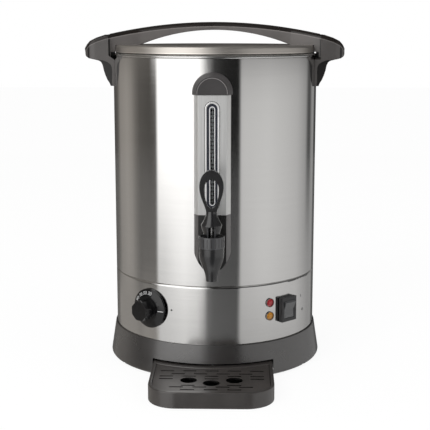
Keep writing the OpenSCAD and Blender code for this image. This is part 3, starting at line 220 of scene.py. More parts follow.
def slab(name, outline, depth):
    """An outline in the XZ plane, made solid from y = 0 to y = depth."""
    piece = draw(name, [(x, 0, z) for x, z in outline], True)
    bpy.ops.mesh.edge_face_add()
    bpy.ops.mesh.extrude_region_move(TRANSFORM_OT_translate={"value": (0, depth, 0)})
    bpy.ops.mesh.select_all(action="SELECT")
    bpy.ops.mesh.normals_make_consistent(inside=False)
    leave_edit()
    return piece


def bar(name, width, foot, top, depth):
    """An upright bar, from y = 0 to y = depth."""
    half = width / 2
    return slab(name, [(-half, foot), (half, foot), (half, top), (-half, top)], depth)


def wall(name, line, depth, thick, closed=False):
    """A strip that stands on a line in the XZ plane, depth deep along Y and thick."""
    piece = draw(name, [(x, 0, z) for x, z in line], closed)
    bpy.ops.mesh.extrude_region_move(TRANSFORM_OT_translate={"value": (0, depth, 0)})
    bpy.ops.mesh.select_all(action="SELECT")
    bpy.ops.mesh.normals_make_consistent(inside=False)
    leave_edit()
    modify(piece, "SOLIDIFY", thickness=thick, offset=0)
    edit(piece)
    bpy.ops.mesh.normals_make_consistent(inside=False)
    leave_edit()
    return piece


def modify(piece, kind, **settings):
    """Adds a modifier and applies it."""
    pick(piece)
    modifier = piece.modifiers.new(kind.title(), kind)
    for setting, value in settings.items():
        setattr(modifier, setting, value)
    bpy.ops.object.modifier_apply(modifier=modifier.name)


def smooth(piece):
    """Smooths the shading, except over sharp edges."""
    pick(piece)
    bpy.ops.object.shade_smooth_by_angle(angle=SMOOTH_ANGLE)


def ease(piece, width, steps=2, angle=32):
    """Rounds the sharp edges and smooths the rest."""
    modify(piece, "BEVEL", width=width, segments=steps, limit_method="ANGLE",
           angle_limit=math.radians(angle), use_clamp_overlap=True)
    smooth(piece)
    modify(piece, "WEIGHTED_NORMAL", keep_sharp=True)
    return piece


def crest(piece, width):
    """Rounds the edges where a face that looks up meets a nearly upright one."""
    edit(piece)
    bpy.ops.mesh.select_mode(type="EDGE")
    bpy.ops.mesh.select_all(action="DESELECT")
    leave_edit()
    mesh = piece.data
    faces = {}
    for face in mesh.polygons:
        for key in face.edge_keys:
            faces.setdefault(key, []).append(face.normal)
    for edge in mesh.edges:
        sides = sorted(faces.get(tuple(sorted(edge.vertices)), ()), key=lambda way: way.z)
        edge.select = len(sides) == 2 and sides[1].z > 0.6 and abs(sides[0].z) < 0.4
    bpy.ops.object.mode_set(mode="EDIT")
    bpy.ops.mesh.bevel(offset=width, segments=4, affect="EDGES", clamp_overlap=False)
    bpy.ops.mesh.select_mode(type="VERT")
    leave_edit()
    return piece


def place(piece, location=(0, 0, 0), rotation=(0, 0, 0)):
    """Moves and turns a piece, with its place kept in its mesh."""
    pick(piece)
    piece.location = location
    piece.rotation_euler = rotation
    bpy.ops.object.transform_apply(location=True, rotation=True, scale=True)
    return piece


def copy_of(node, name):
    """A mesh of its own with a CAD node's shape, merged and cleared of flat seams."""
    piece = bpy.data.objects.new(name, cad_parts[node].data.copy())
    piece.data.name = name
    bpy.context.scene.collection.objects.link(piece)
    piece.data.materials.clear()
    edit(piece)
    bpy.ops.mesh.remove_doubles(threshold=2e-6)
    bpy.ops.mesh.dissolve_limited(angle_limit=SEAM_ANGLE)
    leave_edit()
    bpy.ops.mesh.customdata_custom_splitnormals_clear()
    return piece


def joined(name, parts):
    """Makes one piece of several."""
    clear_selection()
    for part in parts:
        part.select_set(True)
    bpy.context.view_layer.objects.active = parts[0]
    bpy.ops.object.join()
    parts[0].name = parts[0].data.name = name
    return parts[0]


def ring_of(piece, count):
    """Repeats a piece evenly about Z."""
    edit(piece)
    bpy.ops.mesh.spin(steps=count, dupli=True, angle=2 * math.pi,
                      center=(0, 0, 0), axis=(0, 0, 1))
    bpy.ops.mesh.select_all(action="SELECT")
    bpy.ops.mesh.remove_doubles(threshold=MERGE_GAP)
    leave_edit()
    return piece


def lettering(name, words, height):
    """Flat characters in the XY plane, made a mesh."""
    clear_selection()
    bpy.ops.object.text_add(location=(0, 0, 0))
    piece = bpy.context.object
    piece.name = name
    piece.data.body = words
    piece.data.size = height
    piece.data.extrude = LETTER_DEPTH
    piece.data.resolution_u = 3
    piece.data.align_x = "CENTER"
    piece.data.align_y = "CENTER"
    bpy.ops.object.convert(target="MESH")
    piece = bpy.context.object
    piece.data.name = name
    return piece


def on_body(piece, azimuth, height, reach=0.0):
    """Sets a piece made facing +Z, with +Y up, on the body at an angle from the front."""
    radius = BODY_R + reach
    return place(
        piece,
        (radius * math.sin(azimuth), AXIS_Y - radius * math.cos(azimuth), height),
        (math.pi / 2, 0, azimuth))


def dress(piece, body, slot, material, *nodes):
    """Gives a new piece its finish, its body and the CAD nodes that it stands for."""
    piece.data.materials.clear()
    piece.data.materials.append(material)
    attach(piece, body)
    if nodes:
        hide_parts(*nodes)
    return piece


def recut(node, name, body, slot, material, width, steps=2, angle=32):
    """A copy of a CAD node with its edges rounded, shown in the node's place."""
    return dress(ease(copy_of(node, name), width, steps, angle), body, slot, material, node)


def paint(material, *nodes):
    """Gives CAD nodes their finish."""
    for node in nodes:
        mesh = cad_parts[node].data
        mesh.materials.clear()
        mesh.materials.append(material)


# ---------- finishes ----------


class Finish:
    """A node material under construction."""

    def __init__(self, name):
        self.material = bpy.data.materials.new(name)
        self.material.use_nodes = True
        self.nodes = self.material.node_tree.nodes
        self.links = self.material.node_tree.links
        self.shader = self.nodes["Principled BSDF"]
        self.spot = self.add("ShaderNodeTexCoord")

    def add(self, kind, **settings):
        """Adds a node with its settings."""
        node = self.nodes.new(kind)
        for setting, value in settings.items():
            setattr(node, setting, value)
        return node

    def link(self, out, into):
        self.links.new(out, into)

    def set(self, **values):
        """Sets constants of the shader, with an underscore for each space of a name."""
        for socket, value in values.items():
            self.shader.inputs[socket.replace("_", " ")].default_value = value

    def mapped(self, scale=(1, 1, 1), location=(0, 0, 0)):
        """Object coordinates, scaled and moved."""
        mapping = self.add("ShaderNodeMapping")
        mapping.inputs["Scale"].default_value = scale
        mapping.inputs["Location"].default_value = location
        self.link(self.spot.outputs["Object"], mapping.inputs["Vector"])
        return mapping.outputs["Vector"]

    def axes(self, output="Object"):
        """X, Y and Z of the point, or of the way that its face looks."""
        parts = self.add("ShaderNodeSeparateXYZ")
        self.link(self.spot.outputs[output], parts.inputs[0])
        return parts.outputs

    def noise(self, scale, stretch=(1, 1, 1), detail=2.0):
        noise = self.add("ShaderNodeTexNoise")
        noise.inputs["Scale"].default_value = scale
        noise.inputs["Detail"].default_value = detail
        self.link(self.mapped(stretch), noise.inputs["Vector"])
        return noise.outputs["Fac"]

    def spread(self, source, low, high, start=0.3, end=0.7):
        """Maps a value from start..end to low..high."""
        spread = self.add("ShaderNodeMapRange")
        for socket, value in zip(("From Min", "From Max", "To Min", "To Max"),
                                 (start, end, low, high)):
            spread.inputs[socket].default_value = value
        self.link(source, spread.inputs["Value"])
        return spread.outputs["Result"]

    def math(self, operation, first, second=None):
        """Works on one or two values, each a socket or a number."""
        node = self.add("ShaderNodeMath", operation=operation)
        for socket, value in zip(node.inputs, (first, second)):
            if value is None:
                continue
            if isinstance(value, (int, float)):
                socket.default_value = value
            else:
                self.link(value, socket)
        return node.outputs[0]

    def blend(self, factor, first, second):
        """Mixes two colours, each a socket or a value."""
        mix = self.add("ShaderNodeMix", data_type="RGBA")
        for socket, value in zip((mix.inputs[6], mix.inputs[7]), (first, second)):
            if isinstance(value, bpy.types.NodeSocket):
                self.link(value, socket)
            else:
                socket.default_value = (*value[:3], 1)
        self.link(factor, mix.inputs[0])
        return mix.outputs[2]

    def tones(self, source, colour, low, high):
        """A colour that runs from one shade of it to another."""
        return self.blend(self.spread(source, 0, 1), shade(colour, low), shade(colour, high))

    def ramp(self, source, stops):
        """A colour ramp with a stop at each of the places and colours given."""
        ramp = self.add("ShaderNodeValToRGB")
        elements = ramp.color_ramp.elements
        for number, (spot, colour) in enumerate(stops):
            stop = elements[number] if number < 2 else elements.new(spot)
            stop.position = spot
            stop.color = (*colour, 1)
        self.link(source, ramp.inputs[0])
        return ramp.outputs["Color"]

    def colour(self, source):
        self.link(source, self.shader.inputs["Base Color"])

    def roughness(self, source):
        self.link(source, self.shader.inputs["Roughness"])

    def bump(self, height, strength, distance=0.0002):
        bump = self.add("ShaderNodeBump")
        bump.inputs["Strength"].default_value = strength
        bump.inputs["Distance"].default_value = distance
        self.link(height, bump.inputs["Height"])
        self.link(bump.outputs["Normal"], self.shader.inputs["Normal"])

    def surface(self, out):
        """Shows this shader in place of the one that is there."""
        self.link(out, self.nodes["Material Output"].inputs["Surface"])

    def glow(self, light):
        """Makes the material shine with a colour."""
        glow = self.add("ShaderNodeEmission")
        self.link(light, glow.inputs["Color"])
        self.surface(glow.outputs[0])


def shade(colour, factor):
    """A colour made lighter or darker."""
    return tuple(min(1.0, c * factor) for c in colour)


def turned_steel(name, colour, roughness, anisotropy=0.85, streak=0.015):
    """Steel brushed round the body: long fine lines, with light drawn out upright."""
    finish = Finish(name)
    finish.set(Metallic=1.0, Anisotropic=anisotropy, Anisotropic_Rotation=0.25)
    lines = finish.noise(1.0, (7, 7, 1300), 3.0)
    broad = finish.noise(1.0, (3, 3, 210), 2.0)
    both = finish.math("ADD", finish.math("MULTIPLY", lines, 0.6),
                       finish.math("MULTIPLY", broad, 0.4))
    finish.colour(finish.blend(finish.spread(both, 0, 1, 0.35, 0.65),
                               shade(colour, 1 - streak), shade(colour, 1 + streak)))
    finish.roughness(finish.spread(both, roughness - 0.02, roughness + 0.02))
    finish.bump(lines, 0.01, 0.0001)
    around = finish.add("ShaderNodeTangent", direction_type="RADIAL", axis="Z")
    finish.link(around.outputs["Tangent"], finish.shader.inputs["Tangent"])
    return finish.material


def sheet_steel(name, colour, roughness, stretch=(900, 900, 8), metal=1.0):
    """Flat satin steel with a straight grain."""
    finish = Finish(name)
    finish.set(Metallic=metal)
    grain = finish.noise(1.0, stretch, 3.0)
    finish.colour(finish.tones(grain, colour, 0.93, 1.06))
    finish.roughness(finish.spread(grain, roughness - 0.04, roughness + 0.04))
    finish.bump(grain, 0.03, 0.0001)
    return finish.material


def moulded(name, colour, roughness=0.45, grain=1700.0, bump=0.12, coat=0.0, gloss=0.5):
    """Moulded plastic: fine grain, slight mottling and a little wear in its gloss."""
    finish = Finish(name)
    finish.set(Coat_Weight=coat, Coat_Roughness=0.2, Specular_IOR_Level=gloss)
    mottle = finish.noise(34.0, detail=4.0)
    fine = finish.noise(grain, detail=3.0)
    finish.colour(finish.tones(mottle, colour, 0.9, 1.1))
    finish.roughness(finish.spread(mottle, roughness * 0.85, roughness * 1.15))
    finish.bump(fine, bump, 0.00015)
    return finish.material


def satin_lid(name, colour, hem):
    """Satin steel, with a painted shadow line at the hem of the lid's band and a painted highlight
    line above it.
    """
    finish = Finish(name)
    finish.set(Metallic=0.92)
    lines = finish.noise(1.0, (6, 6, 900), 3.0)
    height = finish.axes()["Z"]
    face = finish.tones(lines, colour, 0.96, 1.04)
    # painted highlight: a pale line just above the hem; painted shadow: a dark line below the hem
    # height
    pale = finish.math("LESS_THAN", height, hem + 1.6 * MM)
    dark = finish.math("LESS_THAN", height, hem)
    face = finish.blend(pale, face, shade(colour, 1.25))
    finish.colour(finish.blend(dark, face, shade(colour, 0.12)))
    finish.roughness(finish.spread(lines, 0.34, 0.40))
    return finish.material


def below_handles(finish):
    """How deep a point lies below the handles' top line."""
    reach, deepest = HANDLE_FALLS[-1]
    place = finish.axes()
    away = finish.math("ABSOLUTE", place["X"])
    stops = [(x / reach, (fall / deepest,) * 3) for x, fall in HANDLE_FALLS]
    fall = finish.ramp(finish.math("DIVIDE", away, reach * MM), stops)
    return finish.math("SUBTRACT", finish.math("SUBTRACT", CAD_BOX[1][2], place["Z"]),
                       finish.math("MULTIPLY", fall, deepest * MM))


def two_tone(name, side, front, roughness, grain, axis="Z", start=0.2, end=0.35, gloss=0.5,
             coat=0.0, hollow=None, strip=0.0):
    """Moulded plastic, smoother where its faces look along an axis, with another tone painted there
    as light and shade.

    A hollow is an axis, a middle and a range of distances from it where faces seen from the
    front or back are painted dark as shade. A strip is a depth below the handles' top line that
    has the other tone as painted shade, with a painted highlight line under it.
    """
    finish = Finish(name)
    finish.set(Coat_Weight=coat, Coat_Roughness=0.25, Specular_IOR_Level=gloss)
    mottle = finish.noise(30.0, detail=4.0)
    facing = finish.axes("Normal")
    # where the second tone goes, by the way faces look: painted light and shade
    along = finish.spread(facing[axis], 0, 1, start, end)
    face = finish.tones(mottle, side, 0.9, 1.1)
    if hollow:
        which, middle, near, far = hollow
        away = finish.math("ABSOLUTE", finish.math("SUBTRACT", finish.axes()[which], middle))
        within = finish.math("MULTIPLY", finish.math("GREATER_THAN", away, near),
                             finish.math("LESS_THAN", away, far))
        upright = finish.math("GREATER_THAN", finish.math("ABSOLUTE", facing["Y"]), 0.7)
        # painted shade on the front and back faces in the hollow
        face = finish.blend(finish.math("MULTIPLY", within, upright), face, shade(side, 0.15))
    if strip:
        depth = below_handles(finish)
        # painted highlight line just under the strip, and painted shade along the strip
        pale = finish.math("LESS_THAN", depth, strip + 1.3 * MM)
        face = finish.blend(pale, face, shade(side, 1.6))
        along = finish.math("MAXIMUM", along, finish.math("LESS_THAN", depth, strip))
    finish.colour(finish.blend(along, face, finish.tones(mottle, front, 0.85, 1.15)))
    finish.roughness(finish.math("SUBTRACT", finish.spread(mottle, roughness, roughness + 0.08),
                                 finish.math("MULTIPLY", along, 0.06)))
    finish.bump(finish.noise(1500.0, detail=3.0), grain, 0.00015)
    return finish.material


def lens(name, colour):
    """Clear coloured lens, with painted shade at its rim, and its faceted back painted as lighter
    cells with darker edges.
    """
    finish = Finish(name)
    finish.set(Roughness=0.12, Coat_Weight=0.6, Coat_Roughness=0.05)
    cells = finish.add("ShaderNodeTexVoronoi")
    cells.inputs["Scale"].default_value = 620.0
    finish.link(finish.mapped(), cells.inputs["Vector"])
    facing = finish.add("ShaderNodeLayerWeight")
    facing.inputs["Blend"].default_value = 0.45
    # painted facets: lighter at each cell's middle, darker towards its edges
    deep = finish.blend(finish.spread(cells.outputs["Distance"], 0, 1, 0.1, 0.6),
                        shade(colour, 1.15), shade(colour, 0.62))
    # painted shade at the rim, where the lens turns away from view
    finish.colour(finish.blend(facing.outputs["Facing"], deep, shade(colour, 0.35)))
    return finish.material


def clear_tube(name):
    """Clear glass with a faint haze."""
    finish = Finish(name)
    finish.set(Transmission_Weight=1.0, IOR=1.46, Alpha=1.0)
    haze = finish.noise(60.0, (1, 1, 0.4), 3.0)
    finish.colour(finish.blend(haze, (0.90, 0.93, 0.94), (0.98, 0.99, 0.99)))
    finish.roughness(finish.spread(haze, 0.02, 0.08))
    return finish.material


def printed_scale(name, colour):
    """Dark, slightly glossy scale plate."""
    finish = Finish(name)
    finish.set(Coat_Weight=0.3, Coat_Roughness=0.1)
    speck = finish.noise(400.0)
    finish.colour(finish.blend(speck, shade(colour, 0.8), shade(colour, 1.2)))
    finish.roughness(finish.spread(speck, 0.28, 0.4))
    return finish.material


def ladder(name, pitch):
    """Pale channel behind the level tube with dark rungs."""
    finish = Finish(name)
    finish.set(Specular_IOR_Level=0.9, Coat_Weight=0.6, Coat_Roughness=0.3)
    turn = finish.math("FRACT", finish.math("DIVIDE", finish.axes()["Z"], pitch))
    rung = finish.math("LESS_THAN", turn, 0.36)
    haze = finish.noise(90.0, (1, 1, 0.3), 3.0)
    pale = finish.blend(haze, (0.95, 0.95, 0.93), (0.75, 0.75, 0.75))
    finish.colour(finish.blend(rung, pale, (0.30, 0.30, 0.30)))
    finish.roughness(finish.spread(haze, 0.4, 0.6))
    return finish.material


def basin(name, colour, depth):
    """Moulded plastic, with painted shade on the floor of the basin."""
    finish = Finish(name)
    finish.set(Coat_Weight=0.8, Coat_Roughness=0.2, Specular_IOR_Level=0.8)
    mottle = finish.noise(34.0, detail=4.0)
    # painted shade: upward faces below the given height are darkened
    low = finish.math("LESS_THAN", finish.axes()["Z"], depth)
    floor = finish.math("MULTIPLY", low,
                        finish.math("GREATER_THAN", finish.axes("Normal")["Z"], 0.5))
    face = finish.tones(mottle, colour, 0.9, 1.1)
    finish.colour(finish.blend(floor, face, shade(colour, 0.08)))
    finish.roughness(finish.spread(mottle, 0.28, 0.36))
    finish.bump(finish.noise(1700.0, detail=3.0), 0.1, 0.00015)
    return finish.material


def soft_rubber(name, colour, roughness=0.6):
    """Dull rubber or silicone with a little dust."""
    finish = Finish(name)
    dust = finish.noise(120.0, detail=4.0)
    finish.colour(finish.tones(dust, colour, 0.88, 1.1))
    finish.roughness(finish.spread(dust, roughness - 0.06, roughness + 0.08))
    finish.bump(finish.noise(900.0, detail=3.0), 0.15, 0.0002)
    return finish.material


# ---------- steps ----------


def sizes():
    """The sizes that a user can change."""
    return bpy.context.scene.urn_sizes


def colours():
    """The colours that a user can change."""
    return bpy.context.scene.urn_colours


class URN_OT_stage(bpy.types.Operator):
    """Pale floor, studio light, reflecting cards and camera"""

    bl_idname = "urn.stage"
    bl_label = "Stage"

    # angles from the camera between which the cards are warm
    WARM_SIDE = (-150, -66)

    # studio cards round the urn: each row takes over from the one above between two heights,
    # and holds angles from the camera with their brightness
    CARDS = (
        (3.3, 3.2, (
            (-180, 0.05), (-147, 0.10), (-132, 0.16), (-75, 0.17), (-64.5, 1.50), (-18, 1.60),
            (-8, 0.40), (0, 0.05), (24, 0.02), (30, 0.12), (60, 0.12), (121, 0.08), (150, 0.05),
            (180, 0.05))),
        (0.45, 0.30, (
            (-180, 0.05), (-147, 0.09), (-141, 0.12), (-132, 0.28), (-115, 0.34), (-106, 0.29),
            (-98, 0.175), (-91, 0.105), (-76, 0.075), (-67.5, 0.085), (-64.5, 1.45),
            (-55, 1.55), (-18, 1.5), (-13, 1.1), (-8, 0.24), (-1.6, 0.06), (5, 0.03),
            (11, 0.012), (24, 0.013), (26, 0.03), (28.5, 0.66), (60, 0.70), (85, 0.62),
            (103, 0.54), (121, 0.36), (127, 0.10), (133, 0.08), (138, 0.26), (146, 0.34),
            (150, 0.06), (180, 0.05))),
        (0.0, -0.36, (
            (-180, 0.05), (-147, 0.09), (-141, 0.12), (-132, 0.24), (-115, 0.31), (-106, 0.28),
            (-98, 0.17), (-91, 0.10), (-68.5, 0.10), (-65, 0.74), (-58, 0.76), (-50, 0.92),
            (-43, 1.06), (-34, 1.16), (-24, 1.05), (-13, 0.9), (-8, 0.15), (-1.6, 0.05),
            (5, 0.035), (24, 0.03), (26, 0.06), (28.5, 0.58), (50, 0.70), (60, 0.70),
            (85, 0.62), (103, 0.55), (121, 0.38), (133, 0.30), (146, 0.30), (150, 0.06),
            (180, 0.05))),
        (-0.42, -0.56, (
            (-180, 0.05), (-147, 0.12), (-141, 0.28), (-132, 0.26), (-100, 0.24), (-93, 0.17),
            (-86, 0.26), (-68, 0.26), (-64.5, 0.70), (-45, 0.74), (-34, 0.82), (-20, 0.72),
            (-8, 0.12), (-1.6, 0.08), (24, 0.055), (28.5, 0.54), (60, 0.60), (103, 0.55),
            (121, 0.40), (133, 0.30), (146, 0.30), (150, 0.06), (180, 0.05))),
        (-0.60, -0.72, (
            (-180, 0.05), (-147, 0.12), (-132, 0.28), (-68, 0.30), (-64.5, 0.60), (-34, 0.72),
            (-20, 0.64), (-8, 0.13), (-1.6, 0.09), (24, 0.07), (28.5, 0.38), (60, 0.42),
            (103, 0.41), (121, 0.38), (133, 0.30), (146, 0.30), (150, 0.06), (180, 0.05))),
    )

    def floor(self, stage):
        """A pale floor that is even to the camera and hardly shows in reflections."""
        clear_selection()
        bpy.ops.mesh.primitive_plane_add(size=14, location=(0, 0, 0))
        floor = bpy.context.object
        floor.name = "floor"
        edit(floor)
        bpy.ops.mesh.subdivide(number_cuts=6)
        leave_edit()
        finish = Finish("floor")
        finish.set(Specular_IOR_Level=0.1)
        speck = finish.noise(3.0, detail=3.0)
        finish.colour(finish.blend(speck, shade(stage.floor, 0.99), stage.floor))
        finish.roughness(finish.spread(speck, 0.85, 0.95))
        path = finish.add("ShaderNodeLightPath")
        white = finish.add("ShaderNodeEmission")
        white.inputs["Strength"].default_value = 1.08
        seen = finish.add("ShaderNodeMixShader")
        finish.link(finish.math("MULTIPLY", path.outputs["Is Camera Ray"], 0.84), seen.inputs[0])
        finish.link(finish.shader.outputs[0], seen.inputs[1])
        finish.link(white.outputs[0], seen.inputs[2])
        through = finish.add("ShaderNodeBsdfTransparent")
        mirrored = finish.add("ShaderNodeMixShader")
        finish.link(finish.math("MULTIPLY", path.outputs["Is Glossy Ray"], 0.9), mirrored.inputs[0])
        finish.link(seen.outputs[0], mirrored.inputs[1])
        finish.link(through.outputs[0], mirrored.inputs[2])
        finish.surface(mirrored.outputs[0])
        floor.data.materials.append(finish.material)

    def row(self, finish, turn, cards, azimuth):
        """The light of one row of cards over the turn round the urn."""
        stops = []
        for degrees, level in cards:
            spot = min(max((degrees + math.degrees(azimuth) + 180) / 360, 0), 1)
            warm = 1 if self.WARM_SIDE[0] < degrees < self.WARM_SIDE[1] else 0.12
            stops.append((spot, (level * (1 + 0.04 * warm), level * (1 - 0.03 * warm),
                                 level * (1 - 0.11 * warm))))
        return finish.ramp(turn, stops)

    def cards(self, stage):
        """A ring and a ceiling that only reflections see."""
        ring = turned("studio_cards", [(2.5, -3.0), (2.5, 3.2)], 96, closed=False)
        place(ring, (0, AXIS_Y, 0))
        finish = Finish("studio_cards")
        parts = finish.add("ShaderNodeSeparateXYZ")
        finish.link(finish.mapped(location=(0, -AXIS_Y, 0)), parts.inputs[0])
        front = finish.math("MULTIPLY", parts.outputs["Y"], -1.0)
        angle = finish.math("ARCTAN2", parts.outputs["X"], front)
        turn = finish.spread(angle, 0, 1, -math.pi, math.pi)
        light = (0.0, 0.0, 0.0)
        for top, foot, cards in self.CARDS:
            below = finish.spread(parts.outputs["Z"], 0, 1, top, foot)
            light = finish.blend(below, light, self.row(finish, turn, cards, stage.azimuth))
        finish.glow(light)
        ring.data.materials.append(finish.material)
        ceiling = turned("studio_ceiling", [(0.0, 3.2), (1.2, 3.2), (2.5, 3.2)], 48, closed=False)
        place(ceiling, (0, AXIS_Y, 0))
        finish = Finish("studio_ceiling")
        finish.glow(finish.blend(finish.noise(0.8), (0.10, 0.098, 0.096), (0.16, 0.157, 0.153)))
        ceiling.data.materials.append(finish.material)
        for card in (ring, ceiling):
            card.visible_camera = False
            card.visible_diffuse = False
            card.visible_shadow = False
            card.visible_transmission = False

    def lamps(self, stage):
        """A soft lamp in front on the left and a weaker one on the right."""
        for name, place_at, power in (
            ("key", (-1.1, -2.0, 1.7), stage.key),
            ("side", (1.9, -1.2, 1.3), stage.key * 0.3),
        ):
            clear_selection()
            bpy.ops.object.light_add(type="AREA", location=place_at)
            lamp = bpy.context.object
            lamp.name = name
            lamp.data.shape = "DISK"
            lamp.data.size = 1.6
            lamp.data.energy = power
            aim = Vector((0, AXIS_Y, 0.24)) - Vector(place_at)
            lamp.rotation_euler = aim.to_track_quat("-Z", "Y").to_euler()
            lamp.visible_glossy = False

    def sky(self, stage):
        """White to the camera and in reflections, and weaker where it lights the pieces."""
        world = bpy.data.worlds.new("studio")
        bpy.context.scene.world = world
        world.use_nodes = True
        nodes, links = world.node_tree.nodes, world.node_tree.links
        glow = nodes["Background"]
        glow.inputs["Color"].default_value = (1, 1, 1, 1)
        path = nodes.new("ShaderNodeLightPath")
        seen = nodes.new("ShaderNodeMath")
        seen.operation = "MAXIMUM"
        links.new(path.outputs["Is Camera Ray"], seen.inputs[0])
        links.new(path.outputs["Is Glossy Ray"], seen.inputs[1])
        through = nodes.new("ShaderNodeMath")
        through.operation = "MAXIMUM"
        links.new(seen.outputs[0], through.inputs[0])
        links.new(path.outputs["Is Transmission Ray"], through.inputs[1])
        level = nodes.new("ShaderNodeMapRange")
        level.inputs["To Min"].default_value = stage.fill
        level.inputs["To Max"].default_value = 1.0
        links.new(through.outputs[0], level.inputs["Value"])
        links.new(level.outputs["Result"], glow.inputs["Strength"])

    def camera(self, stage):
        """The camera in front of the urn."""
        clear_selection()
        turn = stage.azimuth
        bpy.ops.object.camera_add(
            location=(stage.distance * math.sin(turn),
                      AXIS_Y - stage.distance * math.cos(turn), stage.height),
            rotation=(math.pi / 2 - stage.pitch, 0, turn))
        camera = bpy.context.object
        camera.data.sensor_width = 36
        camera.data.lens = stage.lens
        bpy.context.scene.camera = camera

    def execute(self, context):
        stage = context.scene.urn_stage
        self.floor(stage)
        self.cards(stage)
        self.lamps(stage)
        self.sky(stage)
        self.camera(stage)
        context.scene.view_settings.view_transform = "Standard"
        return {"FINISHED"}


class URN_OT_body(bpy.types.Operator):
    """Brushed shell, control band and tank"""

    bl_idname = "urn.body"
    bl_label = "Body"

    def execute(self, context):
        steel = colours().steel
        paint(turned_steel("body_steel", steel, 0.11), "outer_shell")
        paint(turned_steel("band_steel", shade(steel, 0.98), 0.12, 0.85, 0.02), "control_band")
        paint(turned_steel("tank_steel", shade(steel, 0.98), 0.22), "inner_tank")
        return {"FINISHED"}


class URN_OT_base(bpy.types.Operator):
    """Base ring, base plate, feet, screws and tray guides"""

    bl_idname = "urn.base"
    bl_label = "Base"

    def execute(self, context):
        plastic = moulded("base_plastic", colours().base, 0.3, coat=1.0, gloss=1.0)
        recut("base_ring", "base_skirt", "urn", "base_plastic", plastic, sizes().fine_edge)
        zinc = sheet_steel("zinc_steel", (0.60, 0.61, 0.62), 0.35, (60, 60, 60))
        paint(zinc, "base_plate", "base_screws", "tray_guides", "tie_rods", "tie_nuts",
              "handle_backing_plates", "handle_screws", "gauge_cap_screw", "thermostat_shaft",
              "shank_spacer", "lid_screws")
        paint(soft_rubber("foot_rubber", (0.03, 0.03, 0.03)), "rubber_feet")
        return {"FINISHED"}


class URN_OT_inside(bpy.types.Operator):
    """Heating, wiring and cutouts under the tank"""

    bl_idname = "urn.inside"
    bl_label = "Inside"

    def execute(self, context):
        paint(sheet_steel("aluminium", (0.74, 0.74, 0.75), 0.4, (40, 40, 40)), "heat_spreader")
        paint(sheet_steel("element_sheath", (0.32, 0.31, 0.30), 0.5, (90, 90, 90)),
              "heating_element")
        paint(sheet_steel("copper", (0.72, 0.42, 0.28), 0.3, (200, 200, 200)), "thermostat_bulb")
        paint(moulded("control_plastic", (0.16, 0.15, 0.14), 0.5), "thermostat", "boil_dry_cutout")
        paint(moulded("terminal_ivory", (0.78, 0.74, 0.64), 0.4), "terminal_block")
        paint(soft_rubber("wire_red", (0.45, 0.07, 0.05)), "wiring")
        paint(moulded("button_red", (0.60, 0.04, 0.04), 0.3), "reset_button")
        paint(moulded("gland_black", shade(colours().black, 2.0), 0.4), "cord_gland", "gland_nut")
        return {"FINISHED"}


class URN_OT_lid(bpy.types.Operator):
    """Lid, its liner, seal and screws"""

    bl_idname = "urn.lid"
    bl_label = "Lid"

    def execute(self, context):
        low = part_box("lid_disc")[0]
        paint(satin_lid("lid_steel", colours().lid_steel, low.z + 1.4 * MM), "lid_disc")
        paint(turned_steel("liner_steel", colours().lid_steel, 0.3, 0.7), "lid_liner")
        paint(soft_rubber("silicone", (0.74, 0.72, 0.67), 0.4), "lid_seal", "gauge_seals",
              "shank_washer", "seat_cup")
        return {"FINISHED"}


class URN_OT_handles(bpy.types.Operator):
    """Arched lid handle and the two side grips"""

    bl_idname = "urn.handles"
    bl_label = "Handles"

    def execute(self, context):
        edge = sizes().plastic_edge
        arch = ease(crest(copy_of("lid_handle", "lid_arch"), sizes().arch_crest), edge)
        # arch: sides 3.0 times the handle colour, a lighter copy for the light on them, with
        # painted shade on front and back faces beyond 147.4 mm from the middle, where it meets the
        # grips
        plastic = self.plastic("arch_plastic", 3.0, "X", 0, 147.4 * MM, 1)
        dress(arch, "lid", "handle_plastic", plastic, "lid_handle")
        # grips: sides 1.7 times the handle colour, with painted shade on front and back faces
        # within 37.5 mm of the axis, in their recess
        plastic = self.plastic("grip_plastic", 1.7, "Y", AXIS_Y, 0, 37.5 * MM)
        for side, node in (("left", "side_handle_left"), ("right", "side_handle_right")):
            grip = ease(crest(copy_of(node, "grip_" + side), sizes().grip_crest), edge)
            dress(grip, "urn", "handle_plastic", plastic, node)
        return {"FINISHED"}

    def plastic(self, name, tone, *hollow):
        """Plastic with painted shade as a dark crown along its top line, a painted highlight line
        under it, and painted shade in its hollow.
        """
        return two_tone(name, shade(colours().handle, tone), colours().crown, 0.32, 0.08,
                        gloss=0.45, coat=0.25, hollow=hollow, strip=5.8 * MM)


